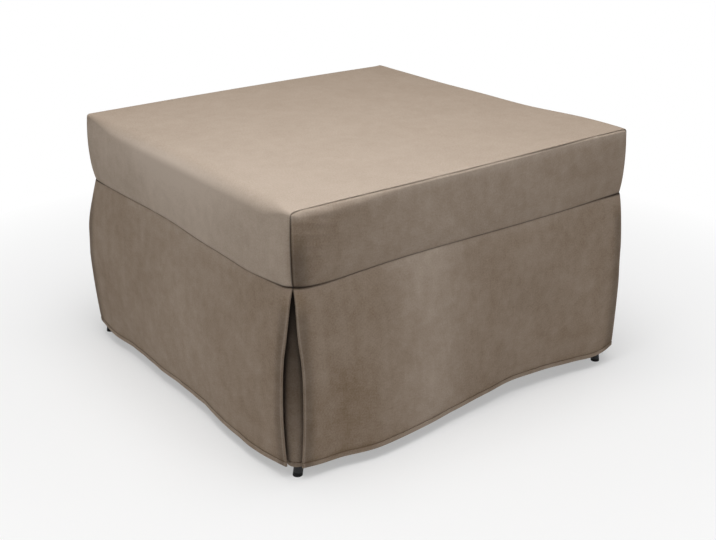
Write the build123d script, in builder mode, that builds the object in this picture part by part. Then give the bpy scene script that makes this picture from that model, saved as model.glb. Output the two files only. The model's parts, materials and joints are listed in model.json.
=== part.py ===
from build123d import *
from math import cos, hypot, radians
import os

# Fold-out ottoman guest bed, shown closed: a square seat under a loose fabric slipcover.
# Three slatted steel frames of one size lie on each other in a Z. The base frame stands on two
# leg hoops, the middle frame lies on it upside down, mattress against mattress, and the head
# frame lies back to back on the middle one. The bed folds out to the left, towards -X.
# Lengths are in millimetres. The origin is on the floor under the middle of the seat,
# +Z is up, -Y is the front and -X is the left side.

# The three sleeping sections
section_length = 671.0  # one frame, along the bed
section_width = 668.0  # over the outer faces of its side rails
rail_width = 20.0
frame_height = 30.0
tube_wall = 1.5
rail_corner = 3.0
mattress_thickness = 80.0
mattress_crown = 4.0  # how far the middle of the pad stands above its edges
mattress_waist = 4.0  # how far each side draws in between its corners
mattress_inset = 1.0  # from the outer faces of the rails
mattress_corner = 24.0
mattress_roll = 11.0  # rounding of the sewn edges
view_margin = 0.4  # keeps the pad's two side views from sharing a face
leg_height = 116.0  # floor to the underside of a frame
rest_gap = 0.3  # between a soft piece and what it lies on
back_gap = 0.6  # between the backs of the middle and head frames

# Slats and their plastic holders
slat_count = 6
slat_width = 53.0
slat_thickness = 8.0
slat_edge = 2.5
holder_wall = 1.5
holder_depth = 26.0
holder_corner = 3.5
holder_slack = 0.2  # around the slat in its pocket

# Plugs in the open ends of the side rails
plug_flange = 1.5
plug_depth = 14.0
plug_slack = 0.1

# Fold hinges at the two ends
hinge_gap = 2.5  # from a rail's end to the axis
hinge_boss_radius = 9.0
hinge_plate = 2.5
hinge_foot_radius = 10.0
hinge_spacer_radius = 7.0  # of the spacer behind the foot of an outer plate
hinge_foot_near = 12.0  # from the rail's end to the nearer foot centre
hinge_foot_far = 72.0  # and to the farther one
hinge_hole_radius = 9.0  # the stamped hole in a tall plate
pin_radius = 4.0
pin_head_radius = 7.0
pin_head = 1.8
pin_edge = 0.6
washer = 0.8
washer_radius = 8.0
side_play = 0.1  # on each side of a washer
press_slack = 0.02
running_slack = 0.08

# Folding leg bows
bow_radius = 8.0
bow_bend = 32.0
bow_inset = 44.0  # from the side rails to the middle of a bow's post
eye_step = 0.4  # how much smaller the eye is than its post
eye_proud = 0.1  # how far the eye's ends stand out of the post
sleeve_radius = 9.5
sleeve_length = 60.0
sleeve_inset = 95.0  # from a post to the middle of a sleeve
sleeve_slack = 0.05
sleeve_edge = 1.0
bow_stop_gap = 0.5  # from the upright bow to the end rail that stops it
floor_gap = 0.5  # under a bow that stands upright
bracket_plate = 2.5
bracket_flange = 18.0
bracket_play = 0.3

# Leg hoops of the base
hoop_radius = 8.0
hoop_bend = 40.0
foot_inset = 14.0  # from the cover's walls to the middle of a foot
cap_height = 6.0
cap_spigot = 14.0
cap_slack = 0.1

# Slipcover
cloth = 3.0
cover_slack_x = 3.0  # from the hinge bosses to the cloth
cover_slack_y = 4.0  # from the hinge pins to the cloth
cover_pinch = 3.0  # how far the cloth draws in at the seam under the band
cover_crown = 4.0
cover_shoulder = 1.0  # how far the band leans in at its top
cover_roll = 11.0  # rounding of the left and right top edges
band_height = 123.0
seam_gap = 0.3
hem_height = 20.0
fold_depth = 22.0  # the deepest fold of the skirt, at its hem
hem_wave = 3.5  # how far the hem rises and dips
corner_belly = 12.0
corner_flare = 8.0
pleat_taper = 6.0  # how far a skirt's edge draws back from its corner at the hem
insert_wing = 42.0
insert_gap = 1.2
insert_tuck = 1.0  # how much deeper a wing's free edge lies
insert_drop = 6.0  # from the seam to the insert's top
insert_chamfer = 14.0
overrun = 10.0  # how far a cutting shape runs past what it cuts

# The folds of a skirt, from its left end to its right end as one faces it.
# Each row is (place, belly, hem, lift): the place along the skirt, then how far the cloth stands
# out at half its height and at its hem, as shares of the fold depth, and how far the hem is
# raised, as a share of the hem's wave.
front_fold_shares = (
    (0.05, 0.57, 0.42, -0.10),
    (0.10, 0.56, 0.56, -0.30),
    (0.20, 0.66, 1.00, -0.90),
    (0.30, 0.62, 0.86, -0.60),
    (0.40, 0.50, 0.48, -0.30),
    (0.50, 0.36, 0.10, 0.10),
    (0.60, 0.27, -0.16, 0.70),
    (0.70, 0.22, -0.27, 1.00),
    (0.80, 0.25, -0.12, 0.60),
    (0.88, 0.42, 0.14, 0.30),
    (0.95, 0.55, 0.37, 0.00),
)
side_fold_shares = (
    (0.05, 0.62, 0.40, 0.00),
    (0.12, 0.74, 0.40, 0.10),
    (0.22, 0.62, 0.18, 0.10),
    (0.35, 0.52, 0.14, 0.20),
    (0.48, 0.48, 0.20, 0.10),
    (0.60, 0.47, 0.34, 0.00),
    (0.70, 0.48, 0.54, -0.15),
    (0.80, 0.50, 0.72, -0.25),
    (0.88, 0.52, 0.76, -0.25),
    (0.95, 0.56, 0.50, -0.10),
)

# Places that follow from the sizes above
rail_end = section_length / 2
rail_face = section_width / 2  # outer face of a side rail
rail_inner = rail_face - rail_width
rail_middle = rail_face - rail_width / 2
end_rail_inner = rail_end - rail_width
section_stack = frame_height + mattress_thickness
pivot_x = rail_end + hinge_gap
fold_z = leg_height + section_stack  # axis between base and middle
middle_back = fold_z + section_stack
head_back = middle_back + back_gap
head_top = head_back + section_stack

inner_layer = rail_face
outer_layer = inner_layer + hinge_plate + washer + 2 * side_play
pin_head_y = outer_layer + hinge_plate + side_play
pin_reach = pin_head_y + pin_head

slat_pitch = 2 * end_rail_inner / slat_count
slat_middle = frame_height - holder_wall - slat_thickness / 2
slat_end = rail_inner - holder_wall - holder_slack
bow_height = (frame_height - holder_wall - slat_thickness) / 2
bow_pivot = end_rail_inner - bow_radius - bow_stop_gap
bow_length = leg_height + bow_height - sleeve_radius - floor_gap
bow_y = rail_inner - bow_inset
sleeve_y = bow_y - sleeve_inset
bracket_y = bow_y + bow_radius + bracket_play

cover_half_width = pivot_x + hinge_boss_radius + cover_slack_x + cloth + cover_pinch
cover_half_depth = pin_reach + cover_slack_y + cloth + cover_pinch
cover_top = head_top + rest_gap + cloth
seam_z = cover_top - band_height
skirt_top = seam_z - seam_gap
skirt_middle = (skirt_top + hem_height) / 2
shoulder_z = cover_top - cover_crown
foot_x = cover_half_width - foot_inset
foot_y = cover_half_depth - foot_inset

os.makedirs("parts", exist_ok=True)


def save(piece, name):
    """Label a finished piece and write it under that label."""
    piece.part.label = name
    export_step(piece.part, f"parts/{name}.step")


class Section:
    """The three drawing planes of a frame, all measured from its back.

    The back is the side that the folding leg swings out of; the mattress lies on the other side,
    which is up for the base and the head and down for the middle section.
    """

    def __init__(self, name, back, up):
        self.name = name
        self.bow_level = back + up * bow_height
        self.flat = Plane(origin=(0, 0, back), x_dir=(1, 0, 0), z_dir=(0, 0, up))
        self.along = Plane(origin=(0, 0, back), x_dir=(1, 0, 0), z_dir=(0, -up, 0))
        self.across = Plane(origin=(0, 0, back), x_dir=(0, 1, 0), z_dir=(up, 0, 0))


base = Section("base", leg_height, 1)
middle = Section("middle", middle_back, -1)
head = Section("head", head_back, 1)


def rail_profile():
    """The outline of a rail: a rounded square tube."""
    RectangleRounded(rail_width, frame_height, rail_corner)
    Rectangle(rail_width - 2 * tube_wall, frame_height - 2 * tube_wall, mode=Mode.SUBTRACT)


def side_rails(section):
    """Two hollow rails along the bed."""
    with BuildPart() as rails:
        with BuildSketch(section.across.offset(-rail_end)):
            with Locations((-rail_middle, frame_height / 2), (rail_middle, frame_height / 2)):
                rail_profile()
        extrude(amount=section_length)
    return rails


def end_rails(section):
    """Two hollow rails across the bed, welded between the side rails."""
    place = rail_end - rail_width / 2
    with BuildPart() as rails:
        with BuildSketch(section.along.offset(-rail_inner)):
            with Locations((-place, frame_height / 2), (place, frame_height / 2)):
                rail_profile()
        extrude(amount=2 * rail_inner)
    return rails


def rail_plugs(section):
    """Four plastic plugs: a flange over the tube's end and a spigot inside it."""
    corners = ((-rail_middle, frame_height / 2), (rail_middle, frame_height / 2))
    inside = tube_wall + plug_slack
    with BuildPart() as plugs:
        with BuildSketch(section.across.offset(rail_end)):
            with Locations(*corners):
                RectangleRounded(rail_width, frame_height, rail_corner)
        extrude(amount=plug_flange)
        with BuildSketch(section.across.offset(rail_end)):
            with Locations(*corners):
                Rectangle(rail_width - 2 * inside, frame_height - 2 * inside)
        extrude(amount=-plug_depth)
        mirror(about=Plane.YZ)
    return plugs


def slats(section):
    """Sprung wooden slats across the frame, their ends in the holders."""
    with BuildPart() as boards:
        with BuildSketch(section.along.offset(-slat_end)) as ends:
            with Locations((0, slat_middle)):
                with GridLocations(slat_pitch, 0, slat_count, 1):
                    Rectangle(slat_width, slat_thickness)
            chamfer(ends.vertices(), slat_edge)
        extrude(amount=2 * slat_end)
    return boards


def slat_holders(section):
    """A plastic pocket on the inner face of the side rail for each slat's end."""
    pocket_width = slat_width + 2 * holder_slack
    with BuildPart() as holders:
        with BuildSketch(section.along.offset(rail_inner - holder_depth)) as blocks:
            with Locations((0, slat_middle)):
                with GridLocations(slat_pitch, 0, slat_count, 1):
                    Rectangle(pocket_width + 2 * holder_wall, slat_thickness + 2 * holder_wall)
            chamfer(blocks.vertices(), holder_corner)
        extrude(amount=holder_depth)
        with BuildSketch(section.along.offset(rail_inner - holder_depth)) as pockets:
            with Locations((0, slat_middle)):
                with GridLocations(slat_pitch, 0, slat_count, 1):
                    Rectangle(pocket_width, slat_thickness + 2 * holder_slack)
            chamfer(pockets.vertices(), slat_edge)
        extrude(amount=holder_depth - holder_wall, mode=Mode.SUBTRACT)
        mirror(about=Plane.XZ)
    return holders


def mattress(section):
    """A foam pad in its ticking: sides drawn in, a crowned face and rolled edges."""
    half_x = rail_end - mattress_inset
    half_y = rail_face - mattress_inset
    bottom = frame_height + rest_gap
    top = section_stack - rest_gap
    edge = top - mattress_crown
    with BuildPart() as pad:
        with BuildSketch(section.flat.offset(bottom - overrun)) as outline:
            with BuildLine():
                ThreePointArc((-half_x, -half_y), (0, mattress_waist - half_y), (half_x, -half_y))
                ThreePointArc((half_x, -half_y), (half_x - mattress_waist, 0), (half_x, half_y))
                ThreePointArc((half_x, half_y), (0, half_y - mattress_waist), (-half_x, half_y))
                ThreePointArc((-half_x, half_y), (mattress_waist - half_x, 0), (-half_x, -half_y))
            make_face()
            fillet(outline.vertices(), mattress_corner)
        extrude(amount=top - bottom + 2 * overrun)
        for plane, half, depth, margin in (
            (section.along, half_x, half_y, 0),
            (section.across, half_y, half_x, view_margin),
        ):
            side, low = half + margin, bottom - margin
            with BuildSketch(plane.offset(-depth - overrun)) as side_view:
                with BuildLine():
                    crown = ThreePointArc((-side, edge), (0, top + margin), (side, edge))
                    Polyline(crown @ 1, (side, low), (-side, low), crown @ 0)
                make_face()
                fillet(side_view.vertices(), mattress_roll)
            extrude(amount=2 * (depth + overrun), mode=Mode.INTERSECT)
    return pad


def hinge_plates(section, end, pivot_height, layer, hole_slack):
    """A pair of stamped plates that carry a fold axis at one end of a frame.

    A plate in the outer layer has a spacer behind its foot, so that it clears its partner.
    """
    pivot = (end * pivot_x, pivot_height)
    near = (end * (rail_end - hinge_foot_near), frame_height / 2)
    far = (end * (rail_end - hinge_foot_far), frame_height / 2)
    with BuildPart() as plates:
        with BuildSketch(section.along.offset(layer)):
            with Locations(pivot):
                Circle(hinge_boss_radius)
            with Locations(near, far):
                Circle(hinge_foot_radius)
            make_hull()
            with Locations(pivot):
                Circle(pin_radius + hole_slack, mode=Mode.SUBTRACT)
            if pivot_height > frame_height:
                middle_of_plate = tuple((a + b + c) / 3 for a, b, c in zip(pivot, near, far))
                with Locations(middle_of_plate):
                    Circle(hinge_hole_radius, mode=Mode.SUBTRACT)
        extrude(amount=hinge_plate)
        if layer > rail_face:
            with BuildSketch(section.along.offset(rail_face)):
                with Locations(near, far):
                    Circle(hinge_spacer_radius)
                make_hull()
            extrude(amount=layer - rail_face)
        mirror(about=Plane.XZ)
    return plates


def hinge_pins(section, end, pivot_height):
    """Headed pins, pressed into the inner plates."""
    with BuildPart() as pins:
        with BuildSketch(section.along.offset(inner_layer)):
            with Locations((end * pivot_x, pivot_height)):
                Circle(pin_radius)
        extrude(amount=pin_head_y - inner_layer)
        with BuildSketch(section.along.offset(pin_head_y)):
            with Locations((end * pivot_x, pivot_height)):
                Circle(pin_head_radius)
        extrude(amount=pin_head)
        rim = pins.edges().filter_by(GeomType.CIRCLE).sort_by(lambda e: abs(e.center().Y))[-1]
        chamfer(rim, pin_edge)
        mirror(about=Plane.XZ)
    return pins


def hinge_washers(section, end, pivot_height):
    """Plastic washers between the inner and outer plates."""
    with BuildPart() as washers:
        with BuildSketch(section.along.offset(inner_layer + hinge_plate + side_play)):
            with Locations((end * pivot_x, pivot_height)):
                Circle(washer_radius)
                Circle(pin_radius + running_slack, mode=Mode.SUBTRACT)
        extrude(amount=washer)
        mirror(about=Plane.XZ)
    return washers


def leg_brackets(section, end):
    """Angle brackets on the end rail, one outside each post of the folding bow."""
    with BuildPart() as brackets:
        with BuildSketch(section.along.offset(bracket_y)):
            with Locations((end * bow_pivot, bow_height)):
                Circle(bow_radius)
            with Locations((end * (end_rail_inner - bracket_plate / 2), bow_height)):
                Rectangle(bracket_plate, 2 * bow_radius)
            make_hull()
            with Locations((end * bow_pivot, bow_height)):
                Circle(pin_radius + press_slack, mode=Mode.SUBTRACT)
        extrude(amount=bracket_plate)
        with BuildSketch(section.along.offset(bracket_y + bracket_plate)):
            with Locations((end * (end_rail_inner - bracket_plate / 2), bow_height)):
                Rectangle(bracket_plate, 2 * bow_radius)
        extrude(amount=bracket_flange)
        mirror(about=Plane.XZ)
    return brackets


def leg_pins(section, end):
    """Headed pins through the brackets and the posts of the folding bow."""
    inside = bow_y - bow_radius - bracket_play - pin_head
    with BuildPart() as pins:
        with BuildSketch(section.along.offset(inside)):
            with Locations((end * bow_pivot, bow_height)):
                Circle(pin_head_radius)
        extrude(amount=pin_head)
        with BuildSketch(section.along.offset(inside + pin_head)):
            with Locations((end * bow_pivot, bow_height)):
                Circle(pin_radius)
        extrude(amount=bracket_y + bracket_plate - inside - pin_head)
        mirror(about=Plane.XZ)
    return pins


def tube_ring(plane, radius, wall=0.0):
    """The cut face of a round tube, or of a round bar when the wall is 0."""
    with BuildSketch(plane) as ring:
        Circle(radius)
        if wall:
            Circle(radius - wall, mode=Mode.SUBTRACT)
    return ring.sketch


def bent_tube(plane, half_width, reach, radius, bend, wall=0.0):
    """Add a U of round tube to the part in hand, drawn as half a U and its mirror image.

    Its run lies on the plane's x axis and a leg points down the plane from each end. The legs
    are open tubes where a wall is given; the run and the bends, which nothing opens, are solid.
    """
    corner = half_width - bend
    across = Plane(plane.origin, x_dir=plane.y_dir, z_dir=plane.x_dir)
    leg_start = plane.from_local_coords((half_width, -bend))
    down_the_leg = Plane(leg_start, x_dir=plane.x_dir, z_dir=-plane.y_dir)
    bend_axis = Axis(plane.from_local_coords((corner, -bend)), -plane.z_dir)
    extrude(tube_ring(across, radius), amount=corner)
    revolve(tube_ring(across.offset(corner), radius), axis=bend_axis, revolution_arc=90)
    extrude(tube_ring(down_the_leg, radius, wall), amount=reach - bend)
    mirror(about=Plane.XZ)


def bow_plane(section, end):
    """The plane of a folded bow: across the bed, and from its posts to its run."""
    foot = end * (bow_pivot - bow_length)
    return Plane(origin=(foot, 0, section.bow_level), x_dir=(0, 1, 0), z_dir=(0, 0, end))


def leg_bow(section, end):
    """A bent steel bow that lies inside the frame and swings down on the eyes of its two posts."""
    flat = bow_plane(section, end)
    posts = [flat.location * Location((side * bow_y, -bow_length, 0)) for side in (-1, 1)]
    with BuildPart() as bow:
        bent_tube(flat, bow_y, bow_length, bow_radius, bow_bend)
        with Locations(*posts):
            Cylinder(bow_radius - eye_step, 2 * (bow_radius + eye_proud), rotation=(0, 90, 0))
            Cylinder(
                pin_radius + running_slack,
                2 * bow_radius + overrun,
                rotation=(0, 90, 0),
                mode=Mode.SUBTRACT,
            )
    return bow


def bow_sleeves(section, end):
    """Plastic sleeves on the cross run of a bow, which meet the floor."""
    flat = bow_plane(section, end)
    places = [flat.location * Location((side * sleeve_y, 0, 0)) for side in (-1, 1)]
    with BuildPart() as sleeves:
        with Locations(*places):
            Cylinder(sleeve_radius, sleeve_length, rotation=(0, 90, 0))
        chamfer(sleeves.edges().filter_by(GeomType.CIRCLE), sleeve_edge)
        with Locations(*places):
            Cylinder(
                bow_radius + sleeve_slack,
                sleeve_length + overrun,
                rotation=(0, 90, 0),
                mode=Mode.SUBTRACT,
            )
    return sleeves


# The leg hoops stand under the end rails and lean outwards to the corners of the cover.
hoop_x = rail_end - rail_width / 2
hoop_z = leg_height - hoop_radius
hoop_run = hypot(foot_x - hoop_x, hoop_z)


def hoop_plane(end):
    """The leaning plane of a hoop: across the bed, and up along its legs."""
    across = Vector(0, 1, 0)
    up_the_leg = Vector(end * (hoop_x - foot_x), 0, hoop_z)
    return Plane(origin=(end * hoop_x, 0, hoop_z), x_dir=across, z_dir=across.cross(up_the_leg))


def leg_hoop(end):
    """One bent tube: a leg down to each side and the run that the frame is welded to."""
    with BuildPart() as hoop:
        reach = hoop_run - cap_height
        bent_tube(hoop_plane(end), foot_y, reach, hoop_radius, hoop_bend, tube_wall)
    return hoop


def foot_caps():
    """Plastic caps: a flange cut level with the floor and a spigot in the tube."""
    with BuildPart() as caps:
        for end in (-1, 1):
            leaning = hoop_plane(end)
            for side in (-1, 1):
                tube_end = Location((side * foot_y, cap_height - hoop_run, 0), (90, 0, 0))
                with Locations(leaning.location * tube_end):
                    Cylinder(
                        hoop_radius,
                        cap_height + overrun,
                        align=(Align.CENTER, Align.CENTER, Align.MIN),
                    )
                    Cylinder(
                        hoop_radius - tube_wall - cap_slack,
                        cap_spigot,
                        align=(Align.CENTER, Align.CENTER, Align.MAX),
                    )
        split(bisect_by=Plane.XY, keep=Keep.TOP)
    return caps


def cover_block(inset=0.0):
    """The cover's filled outline seen from the front, from just below the seam to the top."""
    belly = (seam_z + cover_top) / 2
    half = cover_half_width - inset
    shoulder, waist = half - cover_shoulder, half - cover_pinch
    with BuildSketch(Plane.XZ.offset(-cover_half_depth)) as outline:
        with BuildLine():
            left = ThreePointArc((-waist, seam_z), (-half, belly), (-shoulder, shoulder_z - inset))
            top = ThreePointArc(left @ 1, (0, cover_top - inset), (shoulder, shoulder_z - inset))
            right = ThreePointArc(top @ 1, (half, belly), (waist, seam_z))
            Polyline(right @ 1, (waist, seam_z - overrun), (-waist, seam_z - overrun), left @ 0)
        make_face()
        fillet(outline.vertices().group_by(Axis.Y)[-1], cover_roll - inset)
    return outline.sketch


def band_arc(outer):
    """A wall of the band in section, for the face at -Y; outer is how far it stands out."""
    belly = (seam_z + cover_top) / 2
    waist, shoulder = outer - cover_pinch, outer - cover_shoulder
    return (-waist, seam_z), (-outer, belly), (-shoulder, cover_top + overrun)


def cover_top_wrap():
    """The top cloth, which runs on down the left and right sides as their bands."""
    inside = cover_half_depth - cloth - seam_gap
    with BuildPart() as wrap:
        extrude(cover_block(), amount=2 * cover_half_depth)
        extrude(cover_block(inset=cloth), amount=2 * cover_half_depth, mode=Mode.SUBTRACT)
        with BuildSketch(Plane.YZ.offset(-cover_half_width - overrun)):
            with BuildLine():
                front = ThreePointArc(*band_arc(inside))
                back = ThreePointArc(*((-y, z) for y, z in band_arc(inside)))
                Line(front @ 0, back @ 0)
                Line(front @ 1, back @ 1)
            make_face()
        extrude(amount=2 * (cover_half_width + overrun), mode=Mode.INTERSECT)
    return wrap


def cover_band(turn):
    """The sewn-in band of the front, or of the back when turned half round."""
    with BuildPart() as band:
        extrude(cover_block(), amount=2 * (cover_half_depth + overrun))
        with BuildSketch(Plane.YZ.offset(-cover_half_width - overrun)):
            with BuildLine():
                outside = ThreePointArc(*band_arc(cover_half_depth))
                lining = ThreePointArc(*band_arc(cover_half_depth - cloth))
                Line(outside @ 0, lining @ 0)
                Line(outside @ 1, lining @ 1)
            make_face()
        extrude(amount=2 * (cover_half_width + overrun), mode=Mode.INTERSECT)
    if turn:
        band.part = band.part.rotate(Axis.Z, turn)
    return band


def wall_section(place, outward, belly, hem, lift, inset=0.0, stretch=1.0):
    """One upright section through hanging cloth: outside and lining are arcs from seam to hem."""
    plane = Plane(origin=place, x_dir=outward, z_dir=Vector(*outward).cross(Vector(0, 0, 1)))
    bottom = hem_height + lift
    outs = tuple((out - inset) * stretch for out in (-cover_pinch, belly, hem))
    ins = tuple(out - cloth * stretch for out in outs)
    with BuildSketch(plane) as wall:
        with BuildLine():
            outside = ThreePointArc((outs[0], skirt_top), (outs[1], skirt_middle), (outs[2], bottom))
            lining = ThreePointArc((ins[0], skirt_top), (ins[1], skirt_middle), (ins[2], bottom))
            Line(outside @ 0, lining @ 0)
            Line(outside @ 1, lining @ 1)
        make_face()
    return wall.sketch


def skirt(turn, half_run, wall, folds):
    """A hanging skirt panel with its folds, drawn at the front and turned to its side."""
    corner = (corner_belly / fold_depth, corner_flare / fold_depth, 0)
    rows = ((0, *corner), *folds, (1, *corner))
    sections = []
    for share, belly, hem, lift in rows:
        place = ((2 * share - 1) * half_run, -wall, 0)
        outs = (belly * fold_depth, hem * fold_depth, lift * hem_wave)
        sections.append(wall_section(place, (0, -1, 0), *outs))
    with BuildPart() as panel:
        loft(sections)
        with BuildSketch(Plane.XZ):
            with BuildLine():
                Polyline(
                    (half_run + overrun, skirt_top),
                    (half_run, skirt_top),
                    (half_run - pleat_taper, hem_height - overrun),
                    (half_run + overrun, hem_height - overrun),
                    close=True,
                )
            make_face()
            mirror(about=Plane.YZ)
        extrude(amount=wall + fold_depth + overrun, mode=Mode.SUBTRACT)
    if turn:
        panel.part = panel.part.rotate(Axis.Z, turn)
    return panel


def pleat_insert(side_x, side_y):
    """The panel behind the open pleat of a corner: two wings and a cut corner between them."""
    half_turn = cos(radians(45 / 2))
    slant = Vector(side_x, side_y, 0).normalized()
    leans = (
        (0, side_y, 0),
        tuple((Vector(0, side_y, 0) + slant).normalized()),
        tuple((Vector(side_x, 0, 0) + slant).normalized()),
        (side_x, 0, 0),
    )
    near_x, near_y = cover_half_width - insert_chamfer, cover_half_depth - insert_chamfer
    places = (
        (side_x * (near_x - insert_wing), side_y * (cover_half_depth - insert_tuck), 0),
        (side_x * near_x, side_y * cover_half_depth, 0),
        (side_x * cover_half_width, side_y * near_y, 0),
        (side_x * (cover_half_width - insert_tuck), side_y * (near_y - insert_wing), 0),
    )
    stretches = (1, 1 / half_turn, 1 / half_turn, 1)
    inset = cloth + insert_gap
    sections = [
        wall_section(place, lean, corner_belly, corner_flare, 0, inset=inset, stretch=stretch)
        for place, lean, stretch in zip(places, leans, stretches)
    ]
    with BuildPart() as insert:
        loft(sections, ruled=True)
        with BuildSketch(Plane.XY.offset(skirt_top - insert_drop)):
            with Locations((side_x * cover_half_width, side_y * cover_half_depth)):
                Rectangle(4 * insert_wing, 4 * insert_wing)
        extrude(amount=insert_drop + overrun, mode=Mode.SUBTRACT)
    return insert


# Frames, slats and mattresses, the same in all three sections
for section in (base, middle, head):
    save(side_rails(section), f"{section.name}_side_rails")
    save(end_rails(section), f"{section.name}_end_rails")
    save(rail_plugs(section), f"{section.name}_rail_plugs")
    save(slats(section), f"{section.name}_slats")
    save(slat_holders(section), f"{section.name}_slat_holders")
    save(mattress(section), f"{section.name}_mattress")

# The fold axis between base and middle is at the left end, level with the mattress faces
save(hinge_plates(base, -1, section_stack, inner_layer, press_slack), "base_fold_plates")
save(hinge_plates(middle, -1, section_stack, outer_layer, running_slack), "middle_fold_plates")
save(hinge_pins(base, -1, section_stack), "fold_pins")
save(hinge_washers(base, -1, section_stack), "fold_washers")

# The fold axis between middle and head is at the right end, between the backs of the frames
save(hinge_plates(middle, 1, -back_gap / 2, inner_layer, press_slack), "middle_head_plates")
save(hinge_plates(head, 1, -back_gap / 2, outer_layer, running_slack), "head_fold_plates")
save(hinge_pins(middle, 1, -back_gap / 2), "head_pins")
save(hinge_washers(middle, 1, -back_gap / 2), "head_washers")

# A folding leg bow in the middle section, at its right end, and one in the head at its left end
for section, end in ((middle, 1), (head, -1)):
    save(leg_brackets(section, end), f"{section.name}_leg_brackets")
    save(leg_pins(section, end), f"{section.name}_leg_pins")
    save(leg_bow(section, end), f"{section.name}_leg_bow")
    save(bow_sleeves(section, end), f"{section.name}_leg_sleeves")

# Fixed legs
save(leg_hoop(-1), "base_leg_hoop_left")
save(leg_hoop(1), "base_leg_hoop_right")
save(foot_caps(), "base_foot_caps")

# Slipcover
side_wall, side_run = cover_half_width, cover_half_depth - cover_pinch - cloth - seam_gap
front_wall, front_run = cover_half_depth, cover_half_width - cover_pinch - cloth - seam_gap
save(cover_top_wrap(), "cover_top_wrap")
save(cover_band(0), "cover_band_front")
save(cover_band(180), "cover_band_back")
save(skirt(0, front_run, front_wall, front_fold_shares), "cover_skirt_front")
save(skirt(180, front_run, front_wall, front_fold_shares), "cover_skirt_back")
save(skirt(-90, side_run, side_wall, side_fold_shares), "cover_skirt_left")
save(skirt(90, side_run, side_wall, side_fold_shares), "cover_skirt_right")
save(pleat_insert(-1, -1), "cover_insert_front_left")
save(pleat_insert(1, -1), "cover_insert_front_right")
save(pleat_insert(-1, 1), "cover_insert_back_left")
save(pleat_insert(1, 1), "cover_insert_back_right")
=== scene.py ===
# %% [markdown]
# # Dressing a fold-out ottoman guest bed
#
# The object is a square ottoman seat under a loose, velvety slipcover. Inside it a steel frame in
# three slatted sections is folded in a Z, with a foam mattress on each section. The frame comes
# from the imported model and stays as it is. This lesson gives it its finishes and makes what is
# soft: the sewn cover with its hanging skirt and open corner pleats, and the three mattresses.

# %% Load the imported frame
import json
from math import radians, pi
import bmesh
import bpy
from mathutils import Matrix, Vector
import numpy as np


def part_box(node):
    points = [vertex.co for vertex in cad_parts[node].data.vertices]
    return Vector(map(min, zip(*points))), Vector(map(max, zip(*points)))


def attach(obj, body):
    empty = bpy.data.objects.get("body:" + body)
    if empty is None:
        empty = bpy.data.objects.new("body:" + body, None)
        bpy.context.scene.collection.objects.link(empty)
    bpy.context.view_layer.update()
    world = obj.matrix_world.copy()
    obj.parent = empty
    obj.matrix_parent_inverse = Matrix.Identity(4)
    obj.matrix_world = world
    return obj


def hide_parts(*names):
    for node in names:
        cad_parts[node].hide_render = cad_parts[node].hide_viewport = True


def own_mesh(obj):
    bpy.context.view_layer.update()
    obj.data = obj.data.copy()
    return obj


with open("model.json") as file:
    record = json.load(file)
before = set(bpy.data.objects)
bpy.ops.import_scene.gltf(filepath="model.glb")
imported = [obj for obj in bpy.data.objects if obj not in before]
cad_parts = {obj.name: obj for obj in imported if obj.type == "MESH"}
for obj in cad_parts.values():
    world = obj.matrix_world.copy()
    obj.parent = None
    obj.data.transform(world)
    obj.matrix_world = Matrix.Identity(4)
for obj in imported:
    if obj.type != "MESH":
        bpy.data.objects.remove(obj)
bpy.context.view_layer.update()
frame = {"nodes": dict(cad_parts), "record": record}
nodes = frame["nodes"]

# %% [markdown]
# ## The camera
#
# The photograph looks down on the front left corner. The place of the camera was fitted to the
# four corners of the seat, the three visible feet and the seam under the band. A long lens far
# away would flatten the seat and a short one would spread it, so the fitted focal length is kept.

# %% Camera
photo_width = 716  # pixels
camera_place = (-1.2215, -1.6815, 1.0013)
camera_yaw, camera_pitch = 36.63, 22.08  # degrees to the right of the Y axis, and down
camera_focal = 1171.0  # in pixels of the photograph
sensor_width = 36.0

camera_data = bpy.data.cameras.new("photo_camera")
camera_data.sensor_fit = "HORIZONTAL"
camera_data.sensor_width = sensor_width
camera_data.lens = camera_focal / photo_width * sensor_width
camera = bpy.data.objects.new("photo_camera", camera_data)
camera.location = camera_place
camera.rotation_euler = (radians(90 - camera_pitch), 0, radians(-camera_yaw))
bpy.context.scene.collection.objects.link(camera)
bpy.context.scene.camera = camera
print("lens", round(camera_data.lens, 2), "mm")

# %% [markdown]
# ## Sizes of the cover
#
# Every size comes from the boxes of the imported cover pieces, so the cloth made here fits over the
# same frame. The cover is the same seen from all four sides, apart from its folds, so each wall is
# worked out once in its own frame: s runs along the wall to the right as one faces it, n points
# out of it, and z is up. A quarter turn then takes the wall to its side.

# %% Cover sizes
band_low, band_high = (np.array(corner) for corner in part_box("cover_band_front"))
half_width = float(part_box("cover_top_wrap")[1][0])  # along X, at the fullest height of the band
half_depth = float(-band_low[1])  # along Y
top_z = float(band_high[2])
seam_z = float(band_low[2])
hem_z = 0.0205  # height of the hem above the floor, before its waves
cloth = 0.0018  # thickness of the cover's cloth with its pile

crown = 0.002  # how far the middle of the top stands above its left and right edges
top_roll = 0.0065  # rounding of the left and right top edges, where the cloth runs on
edge_radius = 0.0045  # rounding at a sewn edge
waist_radius = {  # rounding of each corner, seen from above, at the seam under the band
    "front_left": 0.031,
    "back_left": 0.036,
    "back_right": 0.013,
    "front_right": 0.013,
}
band_waist = 0.003  # how far the band draws in at that seam
band_lean = 0.001  # and at the top
shoulder_z = top_z - crown
print("cover", 2 * half_width, 2 * half_depth, top_z, "seam at", seam_z)

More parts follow.
